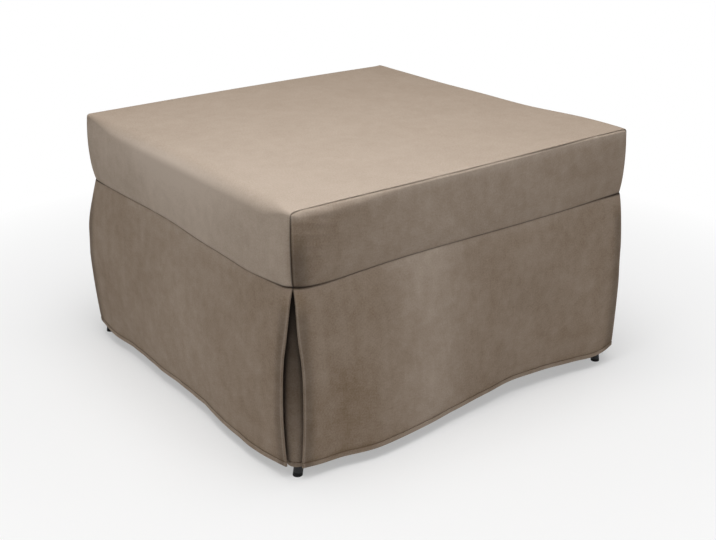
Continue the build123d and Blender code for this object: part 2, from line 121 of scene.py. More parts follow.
WALLS = {  # name: (half length, distance from the middle, turn in quarters)
    "front": (half_width, half_depth, 0),
    "right": (half_depth, half_width, 1),
    "back": (half_width, half_depth, 2),
    "left": (half_depth, half_width, 3),
}
WALL_ENDS = {  # the corners at the left and right end of each wall, as one faces it
    "front": ("front_left", "front_right"),
    "right": ("front_right", "back_right"),
    "back": ("back_right", "back_left"),
    "left": ("back_left", "front_left"),
}


def place_on_wall(s, n, z, quarters):
    """Wall coordinates to room coordinates: the front wall is (s, -n, z), turned by quarters."""
    x, y = s, -n
    for _ in range(quarters):
        x, y = -y, x
    return np.stack(np.broadcast_arrays(x, y, z), axis=-1)


def bump(x, middle, width):
    """A bell: exp of minus the square of the distance from the middle over the width."""
    return np.exp(-(((x - middle) / width) ** 2))


def bell(x, weight, middle, width):
    """A bell of a given weight. Shades and dents are kept as (weight, middle, width)."""
    return weight * bump(x, middle, width)


def smooth_step(x):
    """0 below 0, 1 above 1, and an S curve between: 3 x^2 - 2 x^3."""
    x = np.clip(x, 0, 1)
    return x * x * (3 - 2 * x)


def arc_through(t, start, middle, end):
    """The parabola that has these values at t = 0, at a half and at 1."""
    return start * (1 - t) * (1 - 2 * t) + middle * 4 * t * (1 - t) + end * t * (2 * t - 1)


def grid_line(*spans):
    """The numbers of several spans in one row; a span is from, to and how many."""
    return np.concatenate([np.linspace(*span) for span in spans])


# %% [markdown]
# ## Corners pushed out of true
#
# A loose cover is never as true as the frame in it. The foam fills one corner more than another,
# and the sewn corners of the skirt are pulled in or stand out. The photograph shows by how much at
# three corners; the fourth, at the back, is nearly true.

# %% Corners out of true
CORNER_SIDES = {  # on which side of the middle each corner stands, in X and in Y
    "front_left": (-1, -1),
    "back_left": (-1, 1),
    "back_right": (1, 1),
    "front_right": (1, -1),
}
CORNER_SHIFTS = {  # millimetres (x, y, z) at the hem, at half the skirt, at the seam, at the top
    "front_left": ((-1.4, 1.0, 0), (0, 0, 0), (0, 1.5, 0), (1, 0, -2.2)),
    "back_left": ((4.5, -3.4, 0), (-2, 1.5, 0), (0, 0, 0), (4.5, -3.4, 0)),
    "back_right": ((0, 0, 0), (0, 0, 0), (0, 0, 0), (-2, 2, 2)),
    "front_right": ((13, 0, 1), (16, -1, 0), (12, -1, 3), (8, -0.5, 8)),
}
shift_levels = (hem_z, (hem_z + seam_z) / 2, seam_z, top_z)
SHIFT_REACH = (0.07, 0.10, 0.13, 0.23)  # how far from the corner a shift is felt, at those levels


def push_corners(points):
    """Shift points near each corner: the shift at their height times a bell of their distance."""
    moved = points.copy()
    reach = np.interp(points[..., 2], shift_levels, SHIFT_REACH)
    for name, (side_x, side_y) in CORNER_SIDES.items():
        away = np.hypot(points[..., 0] - side_x * half_width, points[..., 1] - side_y * half_depth)
        shifts = np.array(CORNER_SHIFTS[name]) / 1000
        for axis in range(3):
            at_height = np.interp(points[..., 2], shift_levels, shifts[:, axis])
            moved[..., axis] += at_height * bump(away, 0, reach)
    return moved


seat_corner = np.array([[half_width, -half_depth, top_z]])
print("front right corner of the seat shifts by", (push_corners(seat_corner) - seat_corner).round(4))


# %% [markdown]
# ## From a grid of points to a sheet of cloth
#
# Cloth is a surface with two directions, so every panel is a function of two parameters that is
# worked out on a grid, as whole arrays. The UV map holds the cloth's own lengths in metres: the
# distance sewn along each direction. A pattern that reads it keeps its size and goes along with
# the cloth wherever the cloth is pushed.

# %% Grid helper
def cloth_lengths(points):
    """Lengths in metres along the rows and the columns of a grid, added up from step to step."""
    along = np.linalg.norm(np.diff(points, axis=1), axis=2).mean(axis=0)
    up = np.linalg.norm(np.diff(points, axis=0), axis=2).mean(axis=1)
    u = np.concatenate([[0.0], np.cumsum(along)])
    v = np.concatenate([[0.0], np.cumsum(up)])
    return np.stack(np.meshgrid(u - u[-1] / 2, v), axis=-1)


def grid_mesh(name, points, uv=None, closed=False):
    """A mesh of quads from a grid (rows, columns, 3); closed joins the last column to the first."""
    rows, columns = points.shape[:2]
    if uv is None:
        uv = cloth_lengths(points)
    index = np.arange(rows * columns).reshape(rows, columns)
    right = np.roll(index, -1, axis=1) if closed else index[:, 1:]
    left = index if closed else index[:, :-1]
    quads = np.stack([left[:-1], right[:-1], right[1:], left[1:]], axis=-1).reshape(-1, 4)
    mesh = bpy.data.meshes.new(name)
    mesh.from_pydata(points.reshape(-1, 3).tolist(), [], quads.tolist())
    layer = mesh.uv_layers.new(name="cloth")
    layer.data.foreach_set("uv", uv.reshape(-1, 2)[quads.ravel()].ravel().astype(np.float32))
    mesh.polygons.foreach_set("use_smooth", np.ones(len(quads), bool))
    mesh.update()
    piece = bpy.data.objects.new(name, mesh)
    bpy.context.scene.collection.objects.link(piece)
    return piece


far_away = 0.05  # stands for the way to a hem or a seam on a piece that has none


def cover_sheet(name, points, painted_light, painted_shade, to_seam, to_hem=far_away, uv=None, ruffled=1.0):
    """A piece of the cover, with five values on its points for the cloth's material.

    The first is painted light and shade, from -1, dark, to 1, light, given as the lie of the pile.
    The second is painted shade, from 0 to 1. Two are the ways to the nearest seam and to the hem's
    edge. The last is how ruffled the pile is, against a hanging panel.
    """
    piece = grid_mesh(name, push_corners(points), uv)
    kept = {"painted_light": painted_light, "painted_shade": painted_shade, "to_seam": to_seam, "to_hem": to_hem, "ruffled": ruffled}
    for label, values in kept.items():
        layer = piece.data.attributes.new(label, "FLOAT", "POINT")
        whole = np.broadcast_to(values, points.shape[:2]).ravel().astype(np.float32)
        layer.data.foreach_set("value", whole)
    # the cloth's thickness lies behind the surface that was worked out
    solid = piece.modifiers.new("thickness", "SOLIDIFY")
    solid.thickness = cloth
    solid.offset = -1.0
    return piece


# %% [markdown]
# ## Soft unevenness
#
# Loose cloth is never quite flat. A sum of a few slow waves in random directions gives a smooth,
# gentle unevenness. Its random numbers come from a seed, so each run gives the same cloth.

# %% Gentle waves
def gentle_waves(a, b, size, seed, count=14):
    """Sum of cosines in random directions, with wavelengths from size to 2.5 size; about -1 to 1."""
    rng = np.random.default_rng(seed)
    angle = rng.uniform(0, 2 * pi, count)
    length = size * rng.uniform(1.0, 2.5, count)
    phase = rng.uniform(0, 2 * pi, count)
    weight = rng.uniform(0.5, 1.0, count)
    total = np.zeros(np.broadcast(a, b).shape)
    for ang, lam, pha, wei in zip(angle, length, phase, weight):
        total = total + wei * np.cos(2 * pi * (a * np.cos(ang) + b * np.sin(ang)) / lam + pha)
    return total / np.sqrt((weight**2).sum() * 2)


waves = gentle_waves(np.linspace(0, 2, 200), 0, 0.16, 3)
print("waves of 0.16 m over 2 m run from", waves.min().round(2), "to", waves.max().round(2))


# %% [markdown]
# ## The outline of a wall seen from above
#
# A wall is straight along its middle and turns round its corners. Near the top the foam fills the
# corners and they are sharp. At the seam nothing fills them, and the cloth rounds off. Half of a
# corner belongs to each of the two walls, up to the line at 45 degrees where they are sewn.

# %% Rounded outline
def rounded_wall(q, run, wall, radius, gap=0.0):
    """Points along half a rounded square, by arc length.

    q goes from -1 to 1 along the wall. The half length is run - radius for the straight part plus
    radius * pi / 4 for half of the corner, less the gap. On the corner the angle is the arc length
    past its start over the radius: s = run - radius + radius sin, n = wall - radius + radius cos.
    """
    straight = run - radius
    half = straight + radius * pi / 4 - gap
    length = np.abs(q) * half
    angle = np.clip((length - straight) / radius, 0, None)
    s = np.where(angle > 0, straight + radius * np.sin(angle), length)
    n = wall - radius * (1 - np.cos(angle))
    return np.sign(q) * s, n, np.sign(q) * angle


print("a wall of 0.70 m ends at", np.round(rounded_wall(1.0, 0.35, 0.35, 0.03)[:2], 4))


# %% [markdown]
# ## The seam under the band
#
# The photograph shows the seam dipping at the front corner, where the weight of two skirt panels
# hangs from it, and sagging slowly along the left side. The front's runs nearly level. The dip is
# a wide bell at each corner, less a narrow one, because the cloth that rounds the corner itself is
# held up a little. The sag comes and goes by S curves, so no kink shows.

# %% Seam height
corner_dip = {"front_left": 0.0108, "back_left": 0.006, "back_right": 0.002, "front_right": -0.003}
corner_rise = {"front_left": 0.0058, "back_left": 0.001, "back_right": 0.0, "front_right": 0.0}
dip_reach, rise_reach = 0.15, 0.045
seam_lift = 0.0015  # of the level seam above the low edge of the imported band
first_sag, first_sag_from = 0.003, 0.015  # of a side wall's seam, and how far from its left end
next_sag, next_sag_from = 0.0065, -0.05  # what is added further on, and from where on the wall
sag_onset, sag_end, sag_clear = 0.15, 0.12, 0.035  # lengths of the S curves, and the level end


def side_sag(s, run):
    """How far the seam of a side wall hangs, most over the half nearer its right end."""
    sag = first_sag * smooth_step((s + run - first_sag_from) / sag_onset)
    sag = sag + next_sag * smooth_step((s - next_sag_from) / sag_onset)
    return sag * smooth_step((run - sag_clear - s) / sag_end)


def seam_height(s, name):
    """Level seam less a wide bell and plus a narrow one at each end; the front left dips most."""
    run = WALLS[name][0]
    left_end, right_end = WALL_ENDS[name]
    dips = 0.0
    for end, corner in ((left_end, -run), (right_end, run)):
        dips = dips + corner_dip[end] * bump(s, corner, dip_reach)
        dips = dips - corner_rise[end] * bump(s, corner, rise_reach)
    if name in ("left", "right"):
        dips = dips + side_sag(s, run)
    return seam_z + seam_lift - dips


# painted shade beside every seam, in its groove
seam_shade = (0.10, 0, 0.004)


def seam_painted_shade(distance):
    """Faint painted shade beside a seam, where the cloth dips into its groove."""
    return bell(distance, *seam_shade)


print("seam at the front left corner", round(float(seam_height(-half_width, "front")), 4))


# %% [markdown]
# ## The front and back bands
#
# Each band is one panel, sewn to the top cloth along its upper edge and its ends. It is a curved
# surface over (s, z): full in the middle of its height, drawn in at the seam below, and rolled
# over by 45 degrees towards each sewn edge, where a narrow groove marks the stitches.

# %% Corner radius and profile
sharpening = 2.4  # power with which a corner sharpens from the seam to the top


def corner_radius(up, side, name):
    """From the waist radius at the seam (up = 0) to a sharp edge at the top (up = 1).

    side is below 0 at the wall's left end and above 0 at its right end.
    """
    left_end, right_end = WALL_ENDS[name]
    waist = np.where(side < 0, waist_radius[left_end], waist_radius[right_end])
    return edge_radius + (waist - edge_radius) * (1 - np.clip(up, 0, 1)) ** sharpening


def band_profile(up):
    """How far the band stands out: an arc through -waist at 0, 0 at a half and -lean at 1."""
    return arc_through(up, -band_waist, 0, -band_lean)


def top_height(x, inset=0.0):
    """Height of the top's outline seen from the front: a shallow crown with rolled ends."""
    reach = np.clip(np.abs(x) - (half_width - band_lean - top_roll), 0, top_roll - inset)
    roll = top_roll - np.sqrt((top_roll - inset) ** 2 - reach**2)
    return shoulder_z + crown * (1 - (x / half_width) ** 2) - roll


heights = top_height(np.array((0, half_width / 2, half_width - band_lean)))
print("top in the middle, halfway and at its edge", heights.round(4))


# %% Rounding of the top edges
soft_roll = 0.026  # rounding of the left top edge halfway along, where the foam is soft
soft_from, soft_front, soft_back = 0.005, 0.08, 0.14  # where it begins, and how far until it is full
wide_roll, slight_roll = 0.022, 0.007  # rounding of a band near its left end and at its right one
tight_end = 0.022  # length at the left end over which the sewn corner keeps a band tight
wide_length, wide_fade = 0.04, 0.26  # how far the wide rounding goes, and how slowly it fades


def left_roll(y):
    """Rounding of the left top edge: tight at both corners and soft between them."""
    from_front, from_back = y + half_depth, half_depth - y
    soft = smooth_step((from_front - soft_from) / soft_front) * smooth_step(from_back / soft_back)
    return top_roll + (soft_roll - top_roll) * soft


def band_roll(s, run):
    """Rounding of a band below its top seam: soft near the wall's left end, tighter to the right."""
    from_left = s + run
    fade = 1 - smooth_step((from_left - wide_length) / wide_fade)
    wide = slight_roll + (wide_roll - slight_roll) * fade
    return edge_radius + (wide - edge_radius) * smooth_step(from_left / tight_end)


stitch_pull = (-0.0010, 0, 0.0022)
cloth_pull = (-0.0010, 0, 0.016)
print("left edge rounds by", left_roll(np.array((-half_depth, 0, half_depth))).round(4))


def sewn_groove(distance):
    """The cloth is pulled in along a seam: a narrow bell at the seam on top of a wide faint one."""
    return bell(distance, *stitch_pull) + bell(distance, *cloth_pull)


turned_over = 1 - np.sin(pi / 4)  # share of a roll's radius beyond a seam at 45 degrees


def clustered(count, ends, reach=0.02, corner=0.12, turns=12):
    """Numbers from -1 to 1: close together at the ends, fairly close round the corners."""
    edge = np.linspace(0, reach, ends, endpoint=False)
    turn = np.linspace(reach, corner, turns, endpoint=False)
    middle = np.linspace(-1 + corner, 1 - corner, count - 2 * turns)
    return np.concatenate([-1 + edge, -1 + turn, middle, (1 - turn)[::-1], (1 - edge)[::-1]])


# %% [markdown]
# ## How dark a seam looks
#
# A seam shows as a thin dark line: painted shade of the groove where the pile parts over the
# stitches. Each point of the cloth keeps its distance to the nearest seam, and the material darkens
# it by that distance. So a line is made broader or fainter by changing the distance, without any
# more mesh. In the photograph the seams are darkest at the front corner and faint along the left side.

# %% Strength of the seams
# the dark lines of the seams are painted shade of their grooves; these values set how broad and dark it
# is
corner_seam_half = 0.0012  # half the width of the dark gape of the seam down a corner
corner_seam_share = 0.9  # how soft its sides are, against the other seams
edge_line_steep = 2.4  # how much thinner the line of a top edge is than those seams
edge_line_off, edge_line_fade = 0.0004, 0.0005  # how faint it is, and what is added at the left end
shade_spread_width, shade_spread_reach = 0.0020, 0.07
side_shade_fade = 0.0006
left_reach = 0.12  # how far from a wall's left end its top edge looks softer


def seam_shade_spread(s, run):
    """How much broader and darker the painted shade of the seam under the band is near a corner."""
    return shade_spread_width * (bump(s, -run, shade_spread_reach) + bump(s, run, shade_spread_reach))


def seam_shade_fade(name):
    """The painted shade of the side walls' seams is fainter than that of the front and back."""
    return side_shade_fade if name in ("left", "right") else 0.0


# %% [markdown]
# ## Shade and wrinkles of a band
#
# Light and shade are painted into the band's colour, given as the lie of the pile. It is darker
# towards the band's ends, has a painted highlight on its rounded top edge and beside the corner seam,
# and painted shade a little further from that seam, where the cloth turns in. The cloth is taut, so
# only slow waves show, and fine wrinkles beside the left corner.

# %% Shade of a band
slack_height, slack_size, slack_upright = 0.0013, 0.16, 1.6  # slow waves, drawn out along the wall
wrinkle_height, wrinkle_size = 0.00045, 0.020
wrinkle_place, wrinkle_reach = 0.04, 0.06  # from the left end
# painted light and shade of the bands, from -1 dark to 1 light: darker ends, painted highlights on the
# top edge and beside the corner seam, painted shade further from it
band_painted_light = -0.06
BAND_END_PAINTED_LIGHT = ((-0.42, -1, 0.17), (-0.22, -1, 0.02), (-0.16, 1, 0.2))  # weight, end, reach
top_edge_light = (0.40, 0.003, 0.010)
corner_light = (0.30, 0.0044, 0.0014)
corner_shade = (0.44, 0.010, 0.022)
corner_shade_from, corner_shade_run = 0.015, 0.07  # down from the top edge


def shade_band(s, run, half_turn, below_edge):
    """Painted light and shade of a band: a plain level, bells at its ends and edges, painted shade by
    the corner.
    """
    painted_light = band_painted_light
    for weight, end, reach in BAND_END_PAINTED_LIGHT:
        painted_light = painted_light + bell(s, weight, end * run, reach)
    painted_light = painted_light + bell(below_edge, *top_edge_light) * (1 + bump(s, -run, left_reach))
    painted_light = painted_light + bell(half_turn, *corner_light) * (s < 0)
    deep = smooth_step((below_edge - corner_shade_from) / corner_shade_run)
    return painted_light, bell(half_turn, *corner_shade) * (s < 0) * deep


# %% Bands
def make_band(name):
    """A grid over the wall and the height; groove, roll and profile say how far it stands out."""
    run, wall, quarters = WALLS[name]
    q = clustered(150, 14, reach=0.03)[None, :]
    up = grid_line((0, 0.06, 8), (0.075, 0.9, 40), (0.91, 1, 14))[:, None]
    s, n, angle = rounded_wall(q, run, wall, corner_radius(up, q, name))
    inset = edge_radius * turned_over
    top = top_height(s * (half_width / run), inset) - 0 * up
    low = seam_height(s, name)
    z = low + (top - low) * up
    below_edge = top - z
    roll = band_roll(s, run)
    from_top = np.clip(below_edge + roll * turned_over, 0, roll)
    rolled = (roll - from_top) / roll  # the sine of how far the cloth has rolled over
    half_turn = np.abs(np.abs(q) - 1) * run
    calm = smooth_step(np.minimum(half_turn, z - low) / 0.03)  # no waves at the sewn edges
    groove = sewn_groove(half_turn) + sewn_groove(below_edge) + sewn_groove(z - low)
    out = band_profile(up) - roll * (1 - np.sqrt(1 - rolled**2)) + groove * np.sqrt(1 - rolled**2)
    slack = gentle_waves(s, z * slack_upright, slack_size, 3 + quarters)
    out = out + slack_height * slack * calm
    near_corner = bump(s, -run + wrinkle_place, wrinkle_reach) * calm
    wrinkles = gentle_waves(s + 0.8 * z, 2.4 * z, wrinkle_size, 61 + quarters)  # they run aslant
    out = out + wrinkle_height * wrinkles * near_corner
    z = z + groove * rolled
    at_corner = (half_turn - corner_seam_half) / corner_seam_share
    faint = edge_line_off + edge_line_fade * bump(s, -run, left_reach)
    along_edges = np.minimum(z - low - seam_shade_spread(s, run), edge_line_steep * below_edge + faint)
    to_seam = np.minimum(at_corner, along_edges)
    painted_light, shade = shade_band(s, run, half_turn, below_edge)
    s, n = s + np.sin(angle) * out, n + np.cos(angle) * out
    points = place_on_wall(s, n, z, quarters)
    return cover_sheet(f"band_{name}", points, painted_light, seam_painted_shade(to_seam) + shade, to_seam)


bands = {name: make_band(name) for name in ("front", "back")}
print("quads in a band", len(bands["front"].data.polygons))

# %% [markdown]
# ## The top cloth
#
# One piece of cloth covers the top and runs on down the left and right sides as their bands. Seen
# from the front its path is a vertical side, a rolled edge, the shallow crown and the same again.
# At the front and back it turns down by 45 degrees to the seam with the bands.

# %% Path of the top cloth
def half_path(up, turn, radius):
    """The side and the rolled edge of the path at low X, for a column of edge radii."""
    side_top = shoulder_z - radius
    x_side = -(half_width + band_profile(up)) + 0 * radius
    z_side = seam_z + (side_top - seam_z) * up
    centre = half_width - band_lean - radius
    x_roll = -centre - radius * np.cos(turn)
    z_roll = side_top + radius * np.sin(turn)
    return np.concatenate([x_side, x_roll], axis=1), np.concatenate([z_side, z_roll], axis=1)


def wrap_path(count_side, count_roll, count_top, left_radius):
    """Points (x, z), outward normals and 'up' of the path from the left seam to the right one.

    The left edge has its own radius in each row; the right edge has the same one in all.
    """
    up = grid_line((0, 0.06, 7), (0.075, 1, count_side))
    turn = np.linspace(0, pi / 2, count_roll)[1:-1]
    right_radius = top_roll + 0 * left_radius
    left_x, left_z = half_path(up, turn, left_radius)
    right_x, right_z = half_path(up, turn, right_radius)
    start = -(half_width - band_lean - left_radius)
    x_top = start + (half_width - band_lean - right_radius - start) * np.linspace(0, 1, count_top)
    x = np.concatenate([left_x, x_top, -right_x[:, ::-1]], axis=1)
    z = np.concatenate([left_z, top_height(x_top), right_z[:, ::-1]], axis=1)
    tangent = np.stack([np.gradient(x, axis=1), np.gradient(z, axis=1)], axis=-1)
    tangent /= np.linalg.norm(tangent, axis=-1, keepdims=True)
    flat = np.ones(len(turn))
    height = np.concatenate([up, flat, np.ones(count_top), flat, up[::-1]])
    return x, z, np.stack([-tangent[..., 1], tangent[..., 0]], axis=-1), height


# %% Painted light and seams of the top cloth
# painted light and shade of the top cloth: the top lighter at the front left and darker at the back
# right, the sides lighter along their middle and high up, with painted shade beside the corner seams
top_light_middle, top_light_slope, top_light_twist = 0.14, -0.19, -0.05  # darker towards the back right
side_light_end = 0.26
side_middle_light = (0.42, 0, 0.55)  # along the side, in half lengths
side_corner_shade = (-0.24, 0.003, 0.006)
side_high_light = (0.50, 0.026, 0.034)  # down from the top
side_high_reach = 0.7
# the painted shade of a corner seam is thin near the top and broad further down
shade_thin_to, shade_broad_from = 0.003, 0.010  # shut down to this far below the top, open from there
shut_width = -0.0002  # half the width of a shut seam: below 0, so that it stays faint
faint_width, faint_reach = 0.0003, 0.13  # how much fainter the top's seams are near the left edge


def painted_light_of_top_cloth(across, along, below_top, half_turn):
    """Painted light and shade of the top and of the sides, blended over the rolled edge between them.
    """
    on_top = top_light_middle + top_light_slope * (across + along) + top_light_twist * (across - along) ** 2
    on_side = side_light_end + bell(along, *side_middle_light) + bell(half_turn, *side_corner_shade)
    on_side = on_side + bell(below_top, *side_high_light) * bump(along, 0, side_high_reach)
    turned = smooth_step((below_top - 0.002) / 0.016)  # 0 on the top, 1 on the sides
    return on_top + (on_side - on_top) * turned


def seams_of_top_cloth(x, below_top, half_turn, low_seam, s):
    """Distance to a seam, for its painted shade: broad down the corners and thin along the top edges.
    """
    levels = (shade_thin_to, shade_broad_from)
    half_shade_width = np.interp(below_top, levels, (shut_width, corner_seam_half))
    at_left = bump(x, -half_width, faint_reach) * smooth_step((0.012 - below_top) / 0.01)
    half_shade_width = half_shade_width - faint_width * at_left
    shade_share = np.interp(below_top, levels, (1 / edge_line_steep, corner_seam_share))
    from_corner = (half_turn - half_shade_width) / shade_share
    return np.minimum(from_corner, low_seam - seam_shade_spread(s, half_depth) + seam_shade_fade("left"))


# %% Top cloth
top_ruffle = 0.45  # how ruffled the taut top is, against a hanging panel


def make_top_cloth():
    """A grid over the path and the depth, drawn in at its seams and turned round the corners."""
    q = clustered(130, 14, reach=0.03)[:, None]
    x, z, normal, up = wrap_path(38, 16, 140, left_roll(q * half_depth))
    left_half = x < 0
    radius = np.where(
        left_half, corner_radius(up[None, :], -q, "left"), corner_radius(up[None, :], q, "right")
    )
    # the front and back edges are drawn in as far as the bands roll over
    roll = np.where(q < 0, band_roll(x, half_width), band_roll(-x, half_width))
    near_top = smooth_step((z - (shoulder_z - 0.006)) / 0.006)
    run = half_depth - turned_over * (roll - edge_radius) * near_top
    s, n, angle = rounded_wall(q, run, 0.0, radius)
    on_side = (up < 1)[None, :]
    dip = seam_z - np.where(left_half, seam_height(-s, "left"), seam_height(s, "right"))
    lowered = z - dip * (1 - np.clip(up, 0, 1))
    half_turn = np.abs(np.abs(q) - 1) * half_depth
    low_seam = np.where(on_side, z - seam_z, 1.0)
    calm = smooth_step(half_turn / 0.04) * smooth_step(low_seam / 0.03)
    slack = gentle_waves(s, x + z * slack_upright, slack_size, 21)
    out = sewn_groove(half_turn) + sewn_groove(low_seam) + slack_height * slack * calm
    # the path holds the profile of the side already, so only its turn round the corner is added
    profile = band_profile(up)[None, :]
    away = n + np.cos(angle) * (out + profile) - profile
    normal_x = np.where(on_side, np.sign(x), normal[..., 0])
    normal_z = np.where(on_side, 0.0, normal[..., 1])
    y = s + np.sin(angle) * (out + profile)
    points = np.stack([x + away * normal_x, y, lowered + away * normal_z], axis=-1)
    across, along = points[..., 0] / half_width, points[..., 1] / half_depth
    painted_light = painted_light_of_top_cloth(across, along, top_z - z, half_turn)
    to_seam = seams_of_top_cloth(x, top_z - z, half_turn, low_seam, s)
    ruffled = np.where(on_side, 1.0, top_ruffle)
    uv = cloth_lengths(points)[..., ::-1]
    return cover_sheet("top_cloth", points, painted_light, seam_painted_shade(to_seam), to_seam, uv=uv, ruffled=ruffled)


top_cloth = make_top_cloth()
print("quads in the top cloth", len(top_cloth.data.polygons))

# %% [markdown]
# ## The skirt
#
# A skirt panel hangs from the seam and stands out in slow folds. For each place along the wall the
# folds say how far the cloth stands out at half its height and at its hem, and how far the hem is
# lifted. Down the panel these join in a smooth curve, and along it they are blended by a cubic
# curve through the chosen places.

# %% Folds of the skirt
fold_depth = 0.022  # a belly or hem share of 1 stands out this far
hem_wave = 0.0035  # a lift share of 1 raises the hem this much
hem_depth = 0.0085  # height of the hem's doubled cloth
FOLDS = {  # place along the wall from 0 to 1, belly, hem and lift as shares
    "front": (
        (0.00, 0.55, 0.36, 0.55),
        (0.05, 0.57, 0.42, 0.05),
        (0.10, 0.56, 0.56, 0.10),
        (0.20, 0.66, 0.98, -0.10),
        (0.30, 0.62, 0.82, 0.10),
        (0.40, 0.50, 0.44, 0.20),
        (0.50, 0.36, 0.08, 0.90),
        (0.60, 0.27, -0.18, 1.90),
        (0.70, 0.22, -0.30, 2.40),
        (0.80, 0.25, -0.16, 2.20),
        (0.88, 0.42, 0.10, 1.50),
        (0.95, 0.55, 0.40, 1.50),
        (0.98, 0.56, 0.44, 2.60),
        (1.00, 0.55, 0.50, 4.60),
    ),
    "side": (
        (0.00, 0.55, 0.36, 2.20),
        (0.05, 0.62, 0.40, 1.00),
        (0.12, 0.74, 0.40, 0.10),
        (0.22, 0.62, 0.18, 0.10),
        (0.35, 0.52, 0.14, 0.20),
        (0.48, 0.48, 0.20, 0.10),
        (0.60, 0.47, 0.34, 0.00),
        (0.70, 0.48, 0.54, -0.15),
        (0.80, 0.50, 0.72, -0.25),
        (0.88, 0.52, 0.76, -0.25),
        (0.95, 0.56, 0.50, 0.00),
        (1.00, 0.55, 0.36, 0.75),
    ),
}


def through_points(x, places, values):
    """A smooth curve through the chosen values: cubic pieces whose slopes are central differences."""
    slope = np.gradient(values, places)
    i = np.clip(np.searchsorted(places, x) - 1, 0, len(places) - 2)
    step = places[i + 1] - places[i]
    t = (x - places[i]) / step
    start, end = values[i], values[i + 1]
    rise, fall = slope[i] * step, slope[i + 1] * step
    return (
        start * (2 * t**3 - 3 * t**2 + 1)
        + rise * (t**3 - 2 * t**2 + t)
        + end * (3 * t**2 - 2 * t**3)
        + fall * (t**3 - t**2)
    )


def fold_curves(share, kind):
    """Belly, hem and lift in metres at each share of the way along the wall."""
    table = np.array(FOLDS[kind])
    belly, hem, lift = (through_points(share, table[:, 0], table[:, i]) for i in (1, 2, 3))
    return belly * fold_depth, hem * fold_depth, lift * hem_wave


middle_fold = np.concatenate(fold_curves(np.array((0.5,)), "front"))
print("belly, hem and lift in the front's middle", middle_fold.round(4))


# %% [markdown]
# ## The open pleat
#
# At each corner two skirt panels meet under the seam and part towards the hem. The cloth of each
# panel turns back round its edge and runs behind, so the edge is a soft fold and not a cut. The
# gap opens in a smooth bulge, widest at about three quarters of the way down.

# %% Opening of the pleat
pleat_gap = 0.0122  # from the corner line to a panel's edge at its widest
hem_radius = 0.013  # of a corner at the hem, seen from above
waist_fade = 2.6  # the waist's radius is gone after one part in this many of the way down
OPENING = np.array((  # way down the pleat, and the share of the widest gap
    (0.0, 0.14), (0.03, 0.31), (0.07, 0.46), (0.15, 0.58), (0.24, 0.67), (0.32, 0.76), (0.43, 0.94),
    (0.6, 1.0), (0.8, 1.0), (0.92, 0.96), (1.0, 0.91),
))


def pleat_opening(down):
    """Half the gap: it opens at once, is widest over the lower half and closes a little."""
    return pleat_gap * through_points(np.clip(down, 0, 1), OPENING[:, 0], OPENING[:, 1])


def skirt_radius(down, waist):
    """Corner radius below the seam: the rounded waist soon opens to a fuller corner."""
    return hem_radius + (waist - hem_radius) * (1 - smooth_step(down * waist_fade))


print("pleat gap at the seam, half way and at the hem", pleat_opening(np.array((0, 0.5, 1))).round(4))

# %% [markdown]
# ## Painted light and shade of the skirt
#
# The photograph shows one broad light patch on the front panel and a lighter middle on the side
# one, with darker ends; these are painted light and shade, given as the lie of the pile. A painted
# highlight runs along the pleat's fold, and painted shade lies on the cloth just beside it, where it
# turns away. The hem is doubled cloth, painted a shade lighter, and darker just above its stitches.

# %% Painted light of the skirt
# painted light and shade of the skirt panels, from -1 dark to 1 light
front_light_plain, side_light_plain = -0.42, -0.36
front_patch = (0.58, -0.085, 0.07)  # fades by 0.4 towards the hem
front_end_shade = (-0.30, -0.25, 0.05)  # at the hem only
FRONT_BELLS = ((-0.08, -0.34, 0.10), (0.10, 0.12, 0.05))
side_patch = (0.24, 0.02, 0.13)
side_seam_shade = (-0.12, 0.3, 0.1)  # at the seam only
side_hem_light = (0.08, -0.2, 0.06)  # at the hem only
below_seam_light = (0.16, 0, 0.014)
hem_light = 0.22
above_hem_shade = (-0.20, hem_depth, 0.006)
# painted highlight along the pleat's fold, painted shade and light beside it, and painted shade where
# the cloth turns away
fold_light = (0.6, 0, 0.0011)  # the pile on the pleat's fold
FOLD_BELLS = ((-0.10, 0.012, 0.010), (0.05, 0.038, 0.012))
fold_shade = (0.34, 0.005, 0.012)


def front_painted_light(s, down):
    """Painted light: one broad soft light patch left of the middle, and darker ends."""
    painted_light = front_light_plain + bell(s, *front_patch) * (1 - 0.4 * down) + bell(s, *front_end_shade) * down
    return painted_light + sum(bell(s, *values) for values in FRONT_BELLS)


def side_painted_light(s, down):
    """Painted light over the middle, darker towards the corners."""
    painted_light = side_light_plain + bell(s, *side_patch) + bell(s, *side_seam_shade) * (1 - down)
    return painted_light + bell(s, *side_hem_light) * down


def shade_skirt(plain, down, calm, below_seam, above_hem, from_edge):
    """Painted light and shade of a panel: its plain level, then the seam, the hem and the pleat's fold.
    """
    painted_light = plain + bell(below_seam, *below_seam_light)
    painted_light = painted_light + hem_light * smooth_step((hem_depth - above_hem) / 0.001)
    painted_light = painted_light + bell(above_hem, *above_hem_shade) + bell(from_edge, *fold_light) * calm
    painted_light = painted_light + sum(bell(from_edge, *values) for values in FOLD_BELLS)
    shade = bell(from_edge, *fold_shade) * smooth_step((down - 0.04) / 0.14)
    return painted_light, seam_painted_shade(below_seam) + shade


SKIRT_PAINTED_LIGHT = {"front": front_painted_light, "side": side_painted_light}

# %% Surface of a skirt panel
hem_step = 0.0005  # how much thicker the hem is
hem_stitches = (-0.0007, hem_depth + 0.0006, 0.0010)
seam_tuck = (-0.0014, 0, 0.0009)  # the top edge is drawn in under the band's
tuck_height, tuck_line = 0.0010, 0.0008  # how far it reaches up, and where the dark line begins
RIPPLES = ((0.0022, 0.11, 0.10, 40), (0.0007, 0.045, 0.05, 50))  # height, size, change down, seed


def sewn_hem(above_hem):
    """The doubled cloth stands out by a small step, and a row of stitches draws it in above."""
    return hem_step * smooth_step((hem_depth - above_hem) / 0.0012) + bell(above_hem, *hem_stitches)


